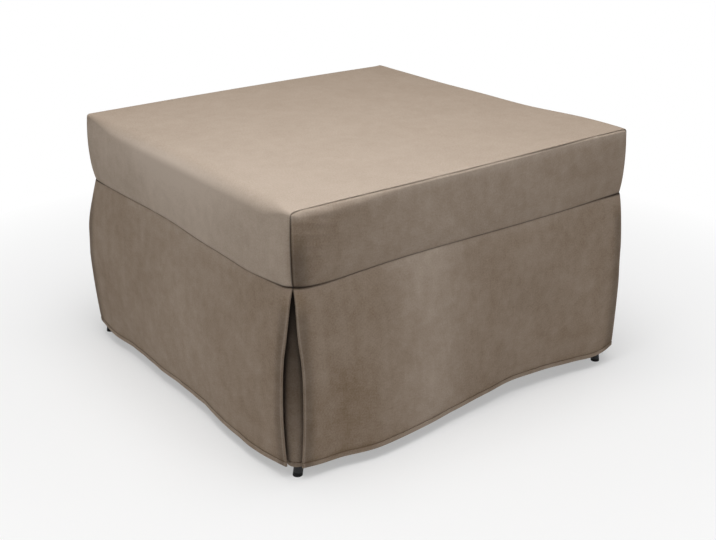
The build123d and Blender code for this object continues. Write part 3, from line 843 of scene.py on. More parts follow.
def skirt_surface(name, q, down):
    """Points of a panel for q along the wall and the way down, with their angle and values."""
    run, wall, quarters = WALLS[name]
    kind = "front" if name in ("front", "back") else "side"
    left_end, right_end = WALL_ENDS[name]
    waist = np.where(q < 0, waist_radius[left_end], waist_radius[right_end])
    s, n, angle = rounded_wall(q, run, wall, skirt_radius(down, waist), pleat_opening(down))
    belly, hem, lift = fold_curves((q + 1) / 2, kind)
    calm = smooth_step(down / 0.25)
    ripple = 0.0
    for height, size, change, seed in RIPPLES:
        ripple = ripple + height * gentle_waves(s, down * change, size, seed + quarters)
    low = hem_z + lift + 0 * down
    top = seam_height(s, name) + tuck_height
    z = top + (low - top) * down
    out = arc_through(down, -band_waist, belly, hem) + ripple * calm
    out = out + sewn_groove(down * (seam_z - hem_z)) + bell(top - z, *seam_tuck) + sewn_hem(z - low)
    points = np.stack([s + np.sin(angle) * out, n + np.cos(angle) * out, z], axis=-1)
    from_edge = run * (1 - np.abs(q)) + 0 * down
    painted_light, painted_shade = shade_skirt(SKIRT_PAINTED_LIGHT[kind](s, down), down, calm, top - z, z - low, from_edge)
    to_seam = top - tuck_line - z - seam_shade_spread(s, run) + seam_shade_fade(name)
    return points, angle + 0 * down, painted_light, painted_shade, to_seam, z - low


# %% Skirt panels
fold_radius = 0.0022  # of the soft fold at a pleat's edge
return_width = 0.022  # of the cloth that runs back behind it
fold_steps, return_steps = 8, 8
closed_depth = 0.35  # the fold's depth at the seam, where the pleat is shut, against that below
# painted shade on the cloth turned back behind each pleat edge
hidden_painted_light, hidden_painted_shade = -0.4, 0.25


def turned_edge(name, side, down):
    """Half a turn of a small circle round a panel's edge, then along behind the panel."""
    turn = np.linspace(0, pi, fold_steps + 1)[1:]
    back = np.linspace(0, return_width, return_steps + 1)[1:]
    along = np.concatenate([-fold_radius * np.sin(turn), back])
    behind = fold_radius * np.concatenate([1 - np.cos(turn), np.full(return_steps, 2.0)])
    opened = smooth_step(down / 0.012)
    q = side * (1 - np.clip(along, 0, None) / WALLS[name][0])[None, :]
    points, angle = skirt_surface(name, q, down)[:2]
    ahead = np.clip(-along, 0, None)[None, :] * opened
    depth = behind[None, :] * (closed_depth + (1 - closed_depth) * opened)
    outward = np.stack([np.sin(angle), np.cos(angle), 0 * angle], axis=-1)
    sideways = np.stack([np.cos(angle), -np.sin(angle), 0 * angle], axis=-1)
    return points + side * sideways * ahead[..., None] - outward * depth[..., None]


def make_skirt(name):
    """A panel with its two turned edges; its rows run up from the hem, so that it faces out."""
    q = clustered(150, 12, reach=0.02)[None, :]
    down = grid_line((0, 0.03, 6), (0.045, 0.94, 90), (0.945, 1, 22))[:, None]
    points, _, painted_light, painted_shade, to_seam, to_hem = skirt_surface(name, q, down)
    left, right = turned_edge(name, -1, down)[:, ::-1], turned_edge(name, 1, down)
    points = np.concatenate([left, points, right], axis=1)
    edges = ((0, 0), (left.shape[1], right.shape[1]))
    painted_light = np.pad(painted_light, edges, constant_values=hidden_painted_light)
    painted_shade = np.pad(painted_shade, edges, constant_values=hidden_painted_shade)
    to_seam = np.pad(to_seam, edges, mode="edge")
    to_hem = np.pad(to_hem, edges, mode="edge")
    low, high = points.min(axis=(0, 1)), points.max(axis=(0, 1))
    print("skirt", name, "from", low.round(4), "to", high.round(4))
    s, n, z = np.moveaxis(points, -1, 0)
    placed = place_on_wall(s, n, z, WALLS[name][2])
    values = (part[::-1] for part in (placed, painted_light, painted_shade, to_seam, to_hem))
    return cover_sheet(f"skirt_{name}", *values)


skirts = {name: make_skirt(name) for name in WALLS}

# %% [markdown]
# ## The pleat inserts
#
# Behind each gap hangs a narrow panel that closes the corner. It lies a finger's width further in,
# in the shade, which is painted into its colour. It bends round the corner and has a hem of its own.

# %% Inserts
CORNERS = {"front_right": 0, "back_right": 1, "back_left": 2, "front_left": 3}  # quarter turns
insert_half = 0.046  # half its width
insert_gap, insert_depth = 0.0080, 0.0045  # behind the skirt at the seam, and what is added below
insert_top, insert_low = 0.002, 0.0008  # below the seam, and below the skirt's hem
insert_bulge = (0.0030, 0, 0.22)
insert_belly, insert_hem = FOLDS["side"][0][1:3]  # as the skirt's folds at a corner
# painted shadow over the insert: darkest under the seam and at its sides, lighter towards the hem
insert_painted_light, insert_lighter = -0.55, 0.35
insert_shade, insert_fade, insert_seam_shade, insert_side_shade = 0.78, 0.50, 0.22, 0.40


def insert_line(run, wall, depth, radius, length):
    """Points by arc length from the corner line at 45 degrees, straight on past the round."""
    turned = np.clip(length / radius, -pi / 4, pi / 4)
    past = length - turned * radius
    angle = pi / 4 + turned
    s = run - depth - radius + radius * np.sin(angle) + np.where(past < 0, past, 0)
    n = wall - depth - radius + radius * np.cos(angle) - np.where(past > 0, past, 0)
    return s, n, angle


def make_insert(name):
    """A narrow panel behind a pleat, with painted shadow darkest under the seam and at its hidden
    sides.
    """
    quarters = CORNERS[name]
    run, wall = (half_width, half_depth) if quarters % 2 == 0 else (half_depth, half_width)
    t = np.linspace(-1, 1, 44)[None, :]
    down = grid_line((0, 0.94, 70), (0.945, 1, 18))[:, None]
    depth = insert_gap + insert_depth * smooth_step(down / 0.3)
    radius = np.maximum(skirt_radius(down, waist_radius[name]) - depth, 0.006) + 0.003
    length = t * insert_half
    s, n, angle = insert_line(run, wall, depth, radius, length)
    low = hem_z - insert_low
    top = seam_z - corner_dip[name] + corner_rise[name] - insert_top
    z = top + (low - top) * down + 0 * t
    out = arc_through(down, -band_waist, insert_belly * fold_depth, insert_hem * fold_depth)
    out = out + 0.0008 * gentle_waves(length, down * 0.1, 0.05, 70 + quarters)
    out = out + bell(t, *insert_bulge) * smooth_step(down / 0.4) + sewn_hem(z - low)
    s, n = s + np.sin(angle) * out, n + np.cos(angle) * out
    painted_light = insert_painted_light + insert_lighter * smooth_step((down - 0.55) / 0.45) + 0 * t
    shade = insert_shade - insert_fade * smooth_step(down**1.5) + bell(down, insert_seam_shade, 0, 0.2)
    shade = shade + insert_side_shade * np.abs(t / 0.27).clip(0, 1.2) ** 4
    placed = place_on_wall(s, n, z, quarters)
    parts = (placed, painted_light, shade.clip(0, 0.95), far_away + 0 * z, z - low)
    return cover_sheet(f"insert_{name}", *(part[::-1] for part in parts))


inserts = {name: make_insert(name) for name in CORNERS}
print("quads in an insert", len(inserts["front_left"].data.polygons))

# %% [markdown]
# ## The three mattress pads
#
# Each section carries a foam pad in a zipped cotton cover: a top and a bottom panel and a border,
# with a piping cord in both seams. The foam fills the cover, so the panels swell between the
# seams while the cords hold the edges straight. All three are sewn alike. One cover is blown up
# by a cloth simulation, which gives the direction of the swelling. How far it goes is capped at a
# few millimetres and fades out at the seams. The three pads are taken from this cover.

# %% Pad sizes
pad_low, pad_high = (np.array(corner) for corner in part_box("base_mattress"))
pad_half = (pad_high - pad_low) / 2
pad_corner = 0.026  # rounding of the corners, seen from above
pad_edge = 0.008  # rounding of the top and bottom edges before the cloth swells
pad_swell = 0.0032  # most that the cloth may swell
piping_radius = 0.0024
pad_waist = 0.0035  # how far each side draws in between its corners
pad_seam_inset = 0.006  # of the piped seams from the top and the bottom
pad_unfilled = 0.0015  # how much smaller the empty cover is on each side
print("pad", (2 * pad_half).round(4))


def drawn_in(x, y):
    """x and y with each side drawn in between its corners, by a parabola along it."""
    along_x = 1 - (x / pad_half[0]) ** 2
    along_y = 1 - (y / pad_half[1]) ** 2
    return x * (1 - pad_waist / pad_half[0] * along_y), y * (1 - pad_waist / pad_half[1] * along_x)


def seam_line(x, y, z):
    """Distance from a point to the nearer of the two piped seams, near the pad's surface."""
    height = pad_half[2] - pad_seam_inset
    to_level = np.abs(np.abs(z) - height)
    side = np.maximum(np.abs(x) - pad_half[0], np.abs(y) - pad_half[1])
    corner_x = np.abs(x) - (pad_half[0] - pad_corner)
    corner_y = np.abs(y) - (pad_half[1] - pad_corner)
    round_part = np.hypot(np.clip(corner_x, 0, None), np.clip(corner_y, 0, None)) - pad_corner
    to_side = np.where((corner_x > 0) & (corner_y > 0), round_part, side)
    return np.hypot(to_level, np.abs(to_side))


# %% A sewn block before it is filled
def make_pad_block():
    """A rounded block a little smaller than the pad, which the pressure then fills out."""
    mesh = bpy.data.meshes.new("pad_block")
    block = bmesh.new()
    bmesh.ops.create_cube(block, size=2.0)
    bmesh.ops.scale(block, vec=(pad_half - pad_unfilled).tolist(), verts=block.verts)
    rises = {edge: abs(edge.verts[0].co.z - edge.verts[1].co.z) for edge in block.edges}
    upright = [edge for edge, rise in rises.items() if rise > 0.01]
    bmesh.ops.bevel(block, geom=upright, offset=pad_corner, segments=6, profile=0.5, affect="EDGES")
    level = [edge for edge in block.edges if abs(edge.verts[0].co.z - edge.verts[1].co.z) < 1e-6]
    outer = [edge for edge in level if len({round(face.normal.z, 2) for face in edge.link_faces}) > 1]
    bmesh.ops.bevel(block, geom=outer, offset=pad_edge, segments=4, profile=0.5, affect="EDGES")
    block.to_mesh(mesh)
    block.free()
    piece = bpy.data.objects.new("pad_block", mesh)
    bpy.context.scene.collection.objects.link(piece)
    return piece


def coordinates(mesh):
    """The places of a mesh's points as an array (points, 3)."""
    values = np.empty(len(mesh.vertices) * 3)
    mesh.vertices.foreach_get("co", values)
    return values.reshape(-1, 3)


def set_coordinates(mesh, points):
    """Move a mesh's points to the places of an array (points, 3)."""
    mesh.vertices.foreach_set("co", points.ravel())
    mesh.update()


def apply_modifiers(piece):
    """The mesh as its modifiers leave it, kept as plain mesh data."""
    graph = bpy.context.evaluated_depsgraph_get()
    result = bpy.data.meshes.new_from_object(piece.evaluated_get(graph))
    piece.modifiers.clear()
    piece.data = result
    return result


# %% Fill it: a cloth simulation under pressure
pad_cell = 0.008  # of the even mesh that is blown up
pad_pressure = 4.0
fill_frames = 20
held_reach = 0.045  # the swelling fades out over this distance to a seam


def fill_pad(piece):
    """Remesh evenly, blow up with Cloth, then cap the swelling and fade it out at the seams.
    """
    remesh = piece.modifiers.new("even", "REMESH")
    remesh.mode = "VOXEL"
    remesh.voxel_size = pad_cell
    apply_modifiers(piece)
    start = coordinates(piece.data)
    cloth_sim = piece.modifiers.new("cloth", "CLOTH")
    cloth_sim.settings.use_pressure = True
    cloth_sim.settings.uniform_pressure_force = pad_pressure
    cloth_sim.settings.effector_weights.gravity = 0
    cloth_sim.settings.quality = 4
    cloth_sim.point_cache.frame_start = 1
    cloth_sim.point_cache.frame_end = fill_frames
    for frame_number in range(1, fill_frames + 1):
        bpy.context.scene.frame_set(frame_number)
    apply_modifiers(piece)
    bpy.context.scene.frame_set(1)
    moved = coordinates(piece.data) - start
    length = np.linalg.norm(moved, axis=1, keepdims=True)
    held = smooth_step(seam_line(*start.T) / held_reach)[:, None]
    capped = moved * np.minimum(1, pad_swell / np.maximum(length, 1e-9))
    points = start + capped * held
    set_coordinates(piece.data, points)
    print("pad swelled by up to", round(float(length.max()) * 1000, 1), "mm before the cap")
    finer = piece.modifiers.new("finer", "SUBSURF")
    finer.levels = finer.render_levels = 1
    apply_modifiers(piece)
    return piece


# %% Sew it: seams, puckers and drawn-in sides
pucker_pitch = 0.0135
pucker_bell = (0.00055, 0.010, 0.008)  # height, how far from a seam, and width
pad_slack = 0.0010
piping_pull = (-0.0016, 0, 0.0045)


def sew_pad(piece):
    """Pull the cloth in at the piping and pucker it on both sides of the seams."""
    points = coordinates(piece.data)
    x, y, z = points.T
    from_seam = seam_line(x, y, z)
    along = np.where(np.abs(x) * pad_half[1] > np.abs(y) * pad_half[0], y, x)
    pucker = np.cos(along * 2 * pi / pucker_pitch + 2.2 * gentle_waves(x, y, 0.05, 91))
    pucker = pucker * (0.5 + 0.5 * gentle_waves(x, y, 0.07, 92)) * bell(from_seam, *pucker_bell)
    slack = pad_slack * gentle_waves(x, y + z, 0.09, 93) * smooth_step(from_seam / 0.05)
    normals = np.empty(len(points) * 3)
    piece.data.vertices.foreach_get("normal", normals)
    outward = pucker + slack + bell(from_seam, *piping_pull)
    points = points + normals.reshape(-1, 3) * outward[:, None]
    points[:, 0], points[:, 1] = drawn_in(points[:, 0], points[:, 1])
    limit = pad_half - 0.0001
    set_coordinates(piece.data, np.clip(points, -limit, limit))
    piece.data.polygons.foreach_set("use_smooth", np.ones(len(piece.data.polygons), bool))
    return piece


pad_master = sew_pad(fill_pad(make_pad_block()))
print("pad faces", len(pad_master.data.polygons))

# %% [markdown]
# ## Piping and zip
#
# The cord runs round in the seam. It is a tube along a rounded rectangle that is drawn in like
# the pad. The zip sits in the border at the pad's end, as a row of moulded teeth that stand to one
# side and the other by turns, like a closed zip.

# %% Tubes along a line
def tube_along(name, line, radius, sides=10, closed=True):
    """A round tube along points; its rings stand square to the line, spaced as the points are."""
    line = np.asarray(line)
    ahead = np.roll(line, -1, axis=0) if closed else np.concatenate([line[1:], line[-1:]])
    before = np.roll(line, 1, axis=0) if closed else np.concatenate([line[:1], line[:-1]])
    tangent = ahead - before
    tangent /= np.linalg.norm(tangent, axis=1, keepdims=True)
    up = np.where(np.abs(tangent[:, 2:3]) > 0.9, (1.0, 0, 0), (0, 0, 1.0))
    side = np.cross(tangent, up)
    side /= np.linalg.norm(side, axis=1, keepdims=True)
    third = np.cross(side, tangent)
    turn = np.linspace(0, 2 * pi, sides, endpoint=False)
    ring = np.cos(turn)[None, :, None] * side[:, None] + np.sin(turn)[None, :, None] * third[:, None]
    points = line[:, None] + radius * ring
    if closed:
        points = np.concatenate([points, points[:1]], axis=0)
    return grid_mesh(name, points, cloth_lengths(points), closed=True)


def rounded_rectangle(half_x, half_y, corner, step):
    """Points of a rounded rectangle, one every step of its length."""
    arc = np.linspace(0, pi / 2, 9)
    corners = []
    for sign_x, sign_y, start in ((1, 1, 0), (-1, 1, pi / 2), (-1, -1, pi), (1, -1, 1.5 * pi)):
        centre = np.array([sign_x * (half_x - corner), sign_y * (half_y - corner)])
        corners.append(centre + corner * np.stack([np.cos(arc + start), np.sin(arc + start)], -1))
    outline = np.concatenate(corners + [corners[0][:1]])
    length = np.concatenate([[0], np.cumsum(np.linalg.norm(np.diff(outline, axis=0), axis=1))])
    at = np.arange(0, length[-1], step)
    return np.stack([np.interp(at, length, outline[:, 0]), np.interp(at, length, outline[:, 1])], -1)


# %% Piping cords
cord_inset = 0.003  # of a cord's middle inside the pad's outline
cord_step = 0.006  # from ring to ring
piping_level = pad_half[2] - 0.0062


def piping_line(level):
    """The seam at one height: just inside the pad's outline, drawn in like its sides."""
    half_x, half_y = pad_half[:2] - cord_inset
    flat = rounded_rectangle(half_x, half_y, pad_corner - cord_inset, cord_step)
    x, y = drawn_in(flat[:, 0], flat[:, 1])
    wander = 0.0005 * gentle_waves(x, y, 0.08, 95)
    return np.stack([x, y, level + wander], axis=-1)


piping_master = [
    tube_along("piping", piping_line(level), piping_radius) for level in (piping_level, -piping_level)
]
print("piping faces", len(piping_master[0].data.polygons))

# %% Zip
tooth_pitch, zip_half = 0.004, 0.25  # the zip is half a metre long
tooth_size = (0.0014, 0.0022, 0.0032)
tooth_aside = 0.0007


def make_zip():
    """The teeth, along the drawn-in border at the low X end."""
    block = bmesh.new()
    tooth = Matrix.Diagonal((*tooth_size, 1))
    face = -pad_half[0] + pad_waist + 0.0004
    for index in range(int(2 * zip_half / tooth_pitch)):
        y = -zip_half + tooth_pitch * index
        x = face - pad_waist * (y / pad_half[1]) ** 2
        aside = tooth_aside if index % 2 else -tooth_aside
        bmesh.ops.create_cube(block, size=1.0, matrix=Matrix.Translation((x, y, aside)) @ tooth)
    mesh = bpy.data.meshes.new("zip_teeth")
    block.to_mesh(mesh)
    block.free()
    piece = bpy.data.objects.new("zip_teeth", mesh)
    bpy.context.scene.collection.objects.link(piece)
    return piece


zip_master = make_zip()
print("zip faces", len(zip_master.data.polygons))

# %% [markdown]
# ## Helpers for shader nodes
#
# A material is a tree of nodes joined by links. Each of these functions adds a node, or a few that
# always go together, and returns its output. Then a material reads like a row of sums.

# %% Node helpers
def new_group(name, inputs, outputs):
    """An empty shader group with named sockets; inputs and outputs are (name, kind, default)."""
    group = bpy.data.node_groups.new(name, "ShaderNodeTree")
    for socket_name, kind, default in inputs:
        socket = group.interface.new_socket(name=socket_name, in_out="INPUT", socket_type=kind)
        if default is not None:
            socket.default_value = default
    for socket_name, kind in outputs:
        group.interface.new_socket(name=socket_name, in_out="OUTPUT", socket_type=kind)
    return group, group.nodes.new("NodeGroupInput"), group.nodes.new("NodeGroupOutput")


def feed(tree, value, slot):
    """Link a node's output to a slot, or set the slot to a plain number or colour."""
    if isinstance(value, (int, float, tuple)):
        slot.default_value = value
    else:
        tree.links.new(value, slot)


def math_node(tree, operation, first, second=None, third=None, clamp=False):
    """A Math node on sockets or plain numbers; returns its result."""
    node = tree.nodes.new("ShaderNodeMath")
    node.operation = operation
    node.use_clamp = clamp
    for slot, value in zip(node.inputs, (first, second, third)):
        if value is not None:
            feed(tree, value, slot)
    return node.outputs[0]


def weighted_sum(tree, *parts):
    """Sum of values times weights; each part is (value, weight)."""
    total = math_node(tree, "MULTIPLY", *parts[0])
    for value, weight in parts[1:]:
        total = math_node(tree, "MULTIPLY_ADD", value, weight, total)
    return total


def noise_node(tree, vector, scale, detail=4.0, roughness=0.5):
    """Noise from about 0.2 to 0.8 whose largest blots are one over the scale wide."""
    node = tree.nodes.new("ShaderNodeTexNoise")
    node.inputs["Scale"].default_value = scale
    node.inputs["Detail"].default_value = detail
    node.inputs["Roughness"].default_value = roughness
    tree.links.new(vector, node.inputs["Vector"])
    return node.outputs[0]


def stretched(tree, vector, scale):
    """The vector scaled by different amounts along its axes."""
    node = tree.nodes.new("ShaderNodeMapping")
    node.inputs["Scale"].default_value = scale
    tree.links.new(vector, node.inputs["Vector"])
    return node.outputs[0]


def spread(tree, value, low, high, to_low=0.0, to_high=1.0):
    """Map a range of a value to another range, clamped."""
    node = tree.nodes.new("ShaderNodeMapRange")
    node.inputs["From Min"].default_value = low
    node.inputs["From Max"].default_value = high
    node.inputs["To Min"].default_value = to_low
    node.inputs["To Max"].default_value = to_high
    tree.links.new(value, node.inputs["Value"])
    return node.outputs[0]


def mix_colors(tree, share, first, second):
    """First colour to second colour by a share; colours are sockets or tuples."""
    node = tree.nodes.new("ShaderNodeMix")
    node.data_type = "RGBA"
    tree.links.new(share, node.inputs["Factor"])
    feed(tree, first, node.inputs[6])
    feed(tree, second, node.inputs[7])
    return node.outputs[2]


def mix_shaders(tree, share, first, second):
    """First shader to second shader by a share."""
    node = tree.nodes.new("ShaderNodeMixShader")
    for slot, value in zip(node.inputs, (share, first, second)):
        tree.links.new(value, slot)
    return node.outputs[0]


def parts_of(tree, vector):
    """The X, Y and Z of a vector."""
    node = tree.nodes.new("ShaderNodeSeparateXYZ")
    tree.links.new(vector, node.inputs[0])
    return tuple(node.outputs)


def object_place(tree, output="Object"):
    """A place on the piece in metres, which stays with it as it moves; or its normal there."""
    return tree.nodes.new("ShaderNodeTexCoord").outputs[output]


def srgb(red, green, blue):
    """A colour as read from a picture, 0 to 255, as linear light."""
    value = np.array([red, green, blue]) / 255
    linear = np.where(value <= 0.04045, value / 12.92, ((value + 0.055) / 1.055) ** 2.4)
    return (*linear.tolist(), 1.0)


# %% Starting a material
def start_material(name, roughness, specular=0.5):
    """A material with one Principled shader; returns it with its tree and shader."""
    material = bpy.data.materials.new(name)
    material.use_nodes = True
    tree = material.node_tree
    shader = tree.nodes["Principled BSDF"]
    shader.inputs["Roughness"].default_value = roughness
    shader.inputs["Specular IOR Level"].default_value = specular
    return material, tree, shader


def use_group(tree, group, **values):
    """A node of a group, with some of its inputs set."""
    node = tree.nodes.new("ShaderNodeGroup")
    node.node_tree = group
    for name, value in values.items():
        node.inputs[name].default_value = value
    return node


def bump_from(tree, height, strength, distance, shader):
    """Let a height tilt the shader's normal, as a relief of that depth would."""
    node = tree.nodes.new("ShaderNodeBump")
    node.inputs["Strength"].default_value = strength
    node.inputs["Distance"].default_value = distance
    tree.links.new(height, node.inputs["Height"])
    tree.links.new(node.outputs["Normal"], shader.inputs["Normal"])


print("colour of a middle grey in linear light", round(srgb(128, 128, 128)[0], 3))

# %% [markdown]
# ## Lights, floor and background
#
# Plain soft studio light: one large lamp overhead, a little to the left, and weak lamps from the
# front and the side. The left one is a little warmer, as the photograph's left wall is. The
# background is plain white where it is seen, straight or in a reflection, and dim as a light.

# %% Lamps
def area_lamp(name, place, target, size, power, tint=(1, 1, 1)):
    """A rectangular lamp that faces a target."""
    data = bpy.data.lights.new(name, "AREA")
    data.color = tint
    data.shape = "RECTANGLE"
    data.size, data.size_y = size
    data.energy = power
    lamp = bpy.data.objects.new(name, data)
    lamp.location = place
    x, y, z = np.array(target) - np.array(place)
    lamp.rotation_euler = (float(np.arctan2(np.hypot(x, y), -z)), 0, float(np.arctan2(-x, y)))
    bpy.context.scene.collection.objects.link(lamp)
    return lamp


seat_middle = (0, 0, 0.3)
lamps = [
    area_lamp("lamp_overhead", (-0.35, -0.45, 2.7), (0, 0, 0), (2.0, 2.0), 68),
    area_lamp("lamp_left", (-3.4, -0.4, 1.5), seat_middle, (2.2, 1.8), 5.0, tint=(1.0, 0.90, 0.72)),
    area_lamp("lamp_front", (0.8, -3.6, 1.5), seat_middle, (2.4, 1.8), 3.6),
]
print("watts", [round(lamp.data.energy, 1) for lamp in lamps])

# %% Background
room_light = 0.14  # strength with which the background lights the object


def background(tree, strength):
    """A plain white background."""
    node = tree.nodes.new("ShaderNodeBackground")
    node.inputs["Color"].default_value = (1, 1, 1, 1)
    node.inputs["Strength"].default_value = strength
    return node.outputs[0]


def seen_rays(tree, *kinds):
    """1 for rays of these kinds and 0 for others."""
    rays = tree.nodes.new("ShaderNodeLightPath")
    seen = rays.outputs[f"Is {kinds[0]} Ray"]
    for kind in kinds[1:]:
        seen = math_node(tree, "MAXIMUM", seen, rays.outputs[f"Is {kind} Ray"])
    return seen


world = bpy.data.worlds.new("studio")
bpy.context.scene.world = world
world.use_nodes = True
world_tree = world.node_tree
world_tree.nodes.clear()
seen = seen_rays(world_tree, "Camera", "Glossy", "Transmission")
sky = mix_shaders(world_tree, seen, background(world_tree, room_light), background(world_tree, 1.0))
world_output = world_tree.nodes.new("ShaderNodeOutputWorld")
world_tree.links.new(sky, world_output.inputs["Surface"])
print("background nodes", len(world_tree.nodes))

# %% Floor
floor_reach = 6.0  # from the middle to each side
floor_corners = [(x * floor_reach, y * floor_reach, 0) for x, y in ((-1, -1), (1, -1), (1, 1), (-1, 1))]
floor_mesh = bpy.data.meshes.new("floor")
floor_mesh.from_pydata(floor_corners, [], [(0, 1, 2, 3)])
floor = bpy.data.objects.new("floor", floor_mesh)
bpy.context.scene.collection.objects.link(floor)
print("floor", 2 * floor_reach, "m")

# %% Floor material
def make_floor_paper():
    """White paper: it keeps the object's shadow and turns plain white further away."""
    material, tree, shader = start_material("floor_paper", 0.9, 0.2)
    shader.inputs["Base Color"].default_value = (0.86, 0.86, 0.86, 1)
    far = tree.nodes.new("ShaderNodeEmission")
    far.inputs["Strength"].default_value = 1.0
    distance = tree.nodes.new("ShaderNodeVectorMath")
    distance.operation = "LENGTH"
    tree.links.new(object_place(tree), distance.inputs[0])
    whiter = spread(tree, distance.outputs["Value"], 0.45, 1.2, 0.4, 1.0)
    share = math_node(tree, "MULTIPLY", whiter, seen_rays(tree, "Camera", "Glossy"))
    mixed = mix_shaders(tree, share, shader.outputs[0], far.outputs[0])
    tree.links.new(mixed, tree.nodes["Material Output"].inputs["Surface"])
    return material


floor_mesh.materials.append(make_floor_paper())
print("floor nodes", len(floor_mesh.materials[0].node_tree.nodes))

# %% [markdown]
# ## Node groups for the finishes
#
# Effects that take many nodes are groups with named inputs and outputs: the mottled nap of the
# cover cloth, a woven thread pattern, and the unevenness, scuffs and grain of hard pieces. The
# groups give only masks and heights; the shaders stay in the materials.

# %% Nap group
def make_nap_group():
    """Brushed pile: broad mottling, streaks along the pile and fine fibre ends."""
    group, enter, leave = new_group(
        "brushed_nap",
        [("Cloth", "NodeSocketVector", None), ("Streaks", "NodeSocketFloat", 1.0)],
        [("Mottle", "NodeSocketFloat"), ("Fibre", "NodeSocketFloat"), ("Height", "NodeSocketFloat")],
    )
    cloth_place = enter.outputs["Cloth"]
    broad = noise_node(group, cloth_place, 9.0, 3.0, 0.55)
    patches = noise_node(group, cloth_place, 42.0, 5.0, 0.66)
    streaks = noise_node(group, stretched(group, cloth_place, (70.0, 16.0, 1.0)), 1.0, 4.0, 0.6)
    fine = noise_node(group, cloth_place, 330.0, 4.0, 0.75)
    grain = noise_node(group, stretched(group, cloth_place, (1500.0, 800.0, 1.0)), 1.0, 2.0, 0.6)
    streak_part = math_node(group, "SUBTRACT", streaks, 0.5)
    streak_part = math_node(group, "MULTIPLY", streak_part, enter.outputs["Streaks"])
    mottle = weighted_sum(group, (broad, 0.45), (patches, 0.55), (streak_part, 0.20))
    group.links.new(spread(group, mottle, 0.33, 0.67), leave.inputs["Mottle"])
    fibre = weighted_sum(group, (fine, 0.7), (grain, 0.3))
    group.links.new(spread(group, fibre, 0.3, 0.7), leave.inputs["Fibre"])
    height = weighted_sum(group, (fibre, 0.6), (patches, 0.8))
    group.links.new(height, leave.inputs["Height"])
    return group


nap_group = make_nap_group()
print("nap nodes", len(nap_group.nodes))

# %% [markdown]
# ## The cover cloth
#
# A grey-brown microfibre with a short brushed pile. Where the pile lies one way it looks lighter
# and the other way darker, so the colour is mottled. The pile scatters light at glancing angles,
# which the sheen of the shader gives. Its bump is fine and low, because the pile is under a
# millimetre long.

# %% Cloth material
# the lit tone and the shaded tone of the cloth: painted light and shade, the mottling and the fibre
# ends mix between them
cover_light = srgb(199, 184, 170)
cover_dark = srgb(125, 105, 84)
# colour of the painted shade in creases, beside seams, on hidden cloth and on the inserts
painted_shade_dark = srgb(30, 24, 22)
# colour of the painted shade in the seams' grooves and along the hem's stitches
groove_shade_brown = srgb(44, 33, 26)
stitch_length, stitch_share = 0.0034, 0.74  # from stitch to stitch, and how much of it is thread
mottle_size, fibre_size = 0.13, 0.16  # how far each moves the colour to either side
sheen_tint = (0.86, 0.80, 0.74, 1)


def own_value(tree, name):
    """A number kept on the points of the mesh."""
    node = tree.nodes.new("ShaderNodeAttribute")
    node.attribute_name = name
    return node.outputs["Fac"]


def pile_color(tree, nap, light, dark):
    """Painted light, the mottling and the fibre ends set how light each place is; painted shade darkens
    it.
    """
    share = math_node(tree, "MULTIPLY_ADD", own_value(tree, "painted_light"), 0.5, 0.5)
    mottle = spread(tree, nap.outputs["Mottle"], 0, 1, -mottle_size, mottle_size)
    share = math_node(tree, "MULTIPLY_ADD", mottle, own_value(tree, "ruffled"), share)
    fibre = spread(tree, nap.outputs["Fibre"], 0, 1, -fibre_size, fibre_size)
    pile = mix_colors(tree, math_node(tree, "ADD", share, fibre, clamp=True), dark, light)
    return mix_colors(tree, own_value(tree, "painted_shade"), pile, painted_shade_dark)


def seam_masks(tree, cloth_place):
    """How much painted shade of a seam's groove or hem line each place shows, and whether it is on a
    hem stitch.
    """
    to_seam = own_value(tree, "to_seam")
    beside_seam = spread(tree, to_seam, 0.0002, 0.0014, 0.5, 0.0)
    in_seam = spread(tree, to_seam, -0.001, 0.0, 0.4, 0.0)
    seam = math_node(tree, "ADD", beside_seam, in_seam)
    from_stitches = math_node(tree, "SUBTRACT", own_value(tree, "to_hem"), hem_depth)
    from_stitches = math_node(tree, "ABSOLUTE", from_stitches)
    hem_line = spread(tree, from_stitches, 0.0002, 0.0013, 0.42, 0.0)
    along, _, _ = parts_of(tree, cloth_place)
    step = math_node(tree, "FRACT", math_node(tree, "DIVIDE", along, stitch_length))
    on_stitch = math_node(tree, "LESS_THAN", step, stitch_share)
    on_line = math_node(tree, "LESS_THAN", from_stitches, 0.00035)
    return math_node(tree, "MAXIMUM", seam, hem_line), math_node(tree, "MULTIPLY", on_stitch, on_line)


def make_cover_cloth(name, light, dark, streaks):
    """Brushed pile between a dark and a light colour, with painted light and shade and a stitched hem.
    """
    material, tree, shader = start_material(name, 0.92, 0.12)
    place = tree.nodes.new("ShaderNodeUVMap")
    place.uv_map = "cloth"
    nap = use_group(tree, nap_group, Streaks=streaks)
    tree.links.new(place.outputs["UV"], nap.inputs["Cloth"])
    line, on_thread = seam_masks(tree, place.outputs["UV"])
    lined = mix_colors(tree, line, pile_color(tree, nap, light, dark), groove_shade_brown)
    threaded = mix_colors(tree, math_node(tree, "MULTIPLY", on_thread, 0.6), lined, dark)
    tree.links.new(threaded, shader.inputs["Base Color"])
    shader.inputs["Sheen Weight"].default_value = 0.05
    shader.inputs["Sheen Roughness"].default_value = 0.45
    shader.inputs["Sheen Tint"].default_value = sheen_tint
    bump_from(tree, nap.outputs["Height"], 0.35, 0.0005, shader)
    return material


cover_cloth = make_cover_cloth("cover_microfibre", cover_light, cover_dark, 1.0)
print("cover cloth nodes", len(cover_cloth.node_tree.nodes))

# %% [markdown]
# ## Finishes of the frame
#
# The tubes are powder coated: a thick, even, satin skin with a fine orange peel and a few scuffs.
# Pins are zinc plated. The slats are bent birch ply, with long pale grain on their faces and thin
# dark glue lines between the plies at their edges. Caps, holders and sleeves are moulded plastic
# with a fine spark-eroded grain.

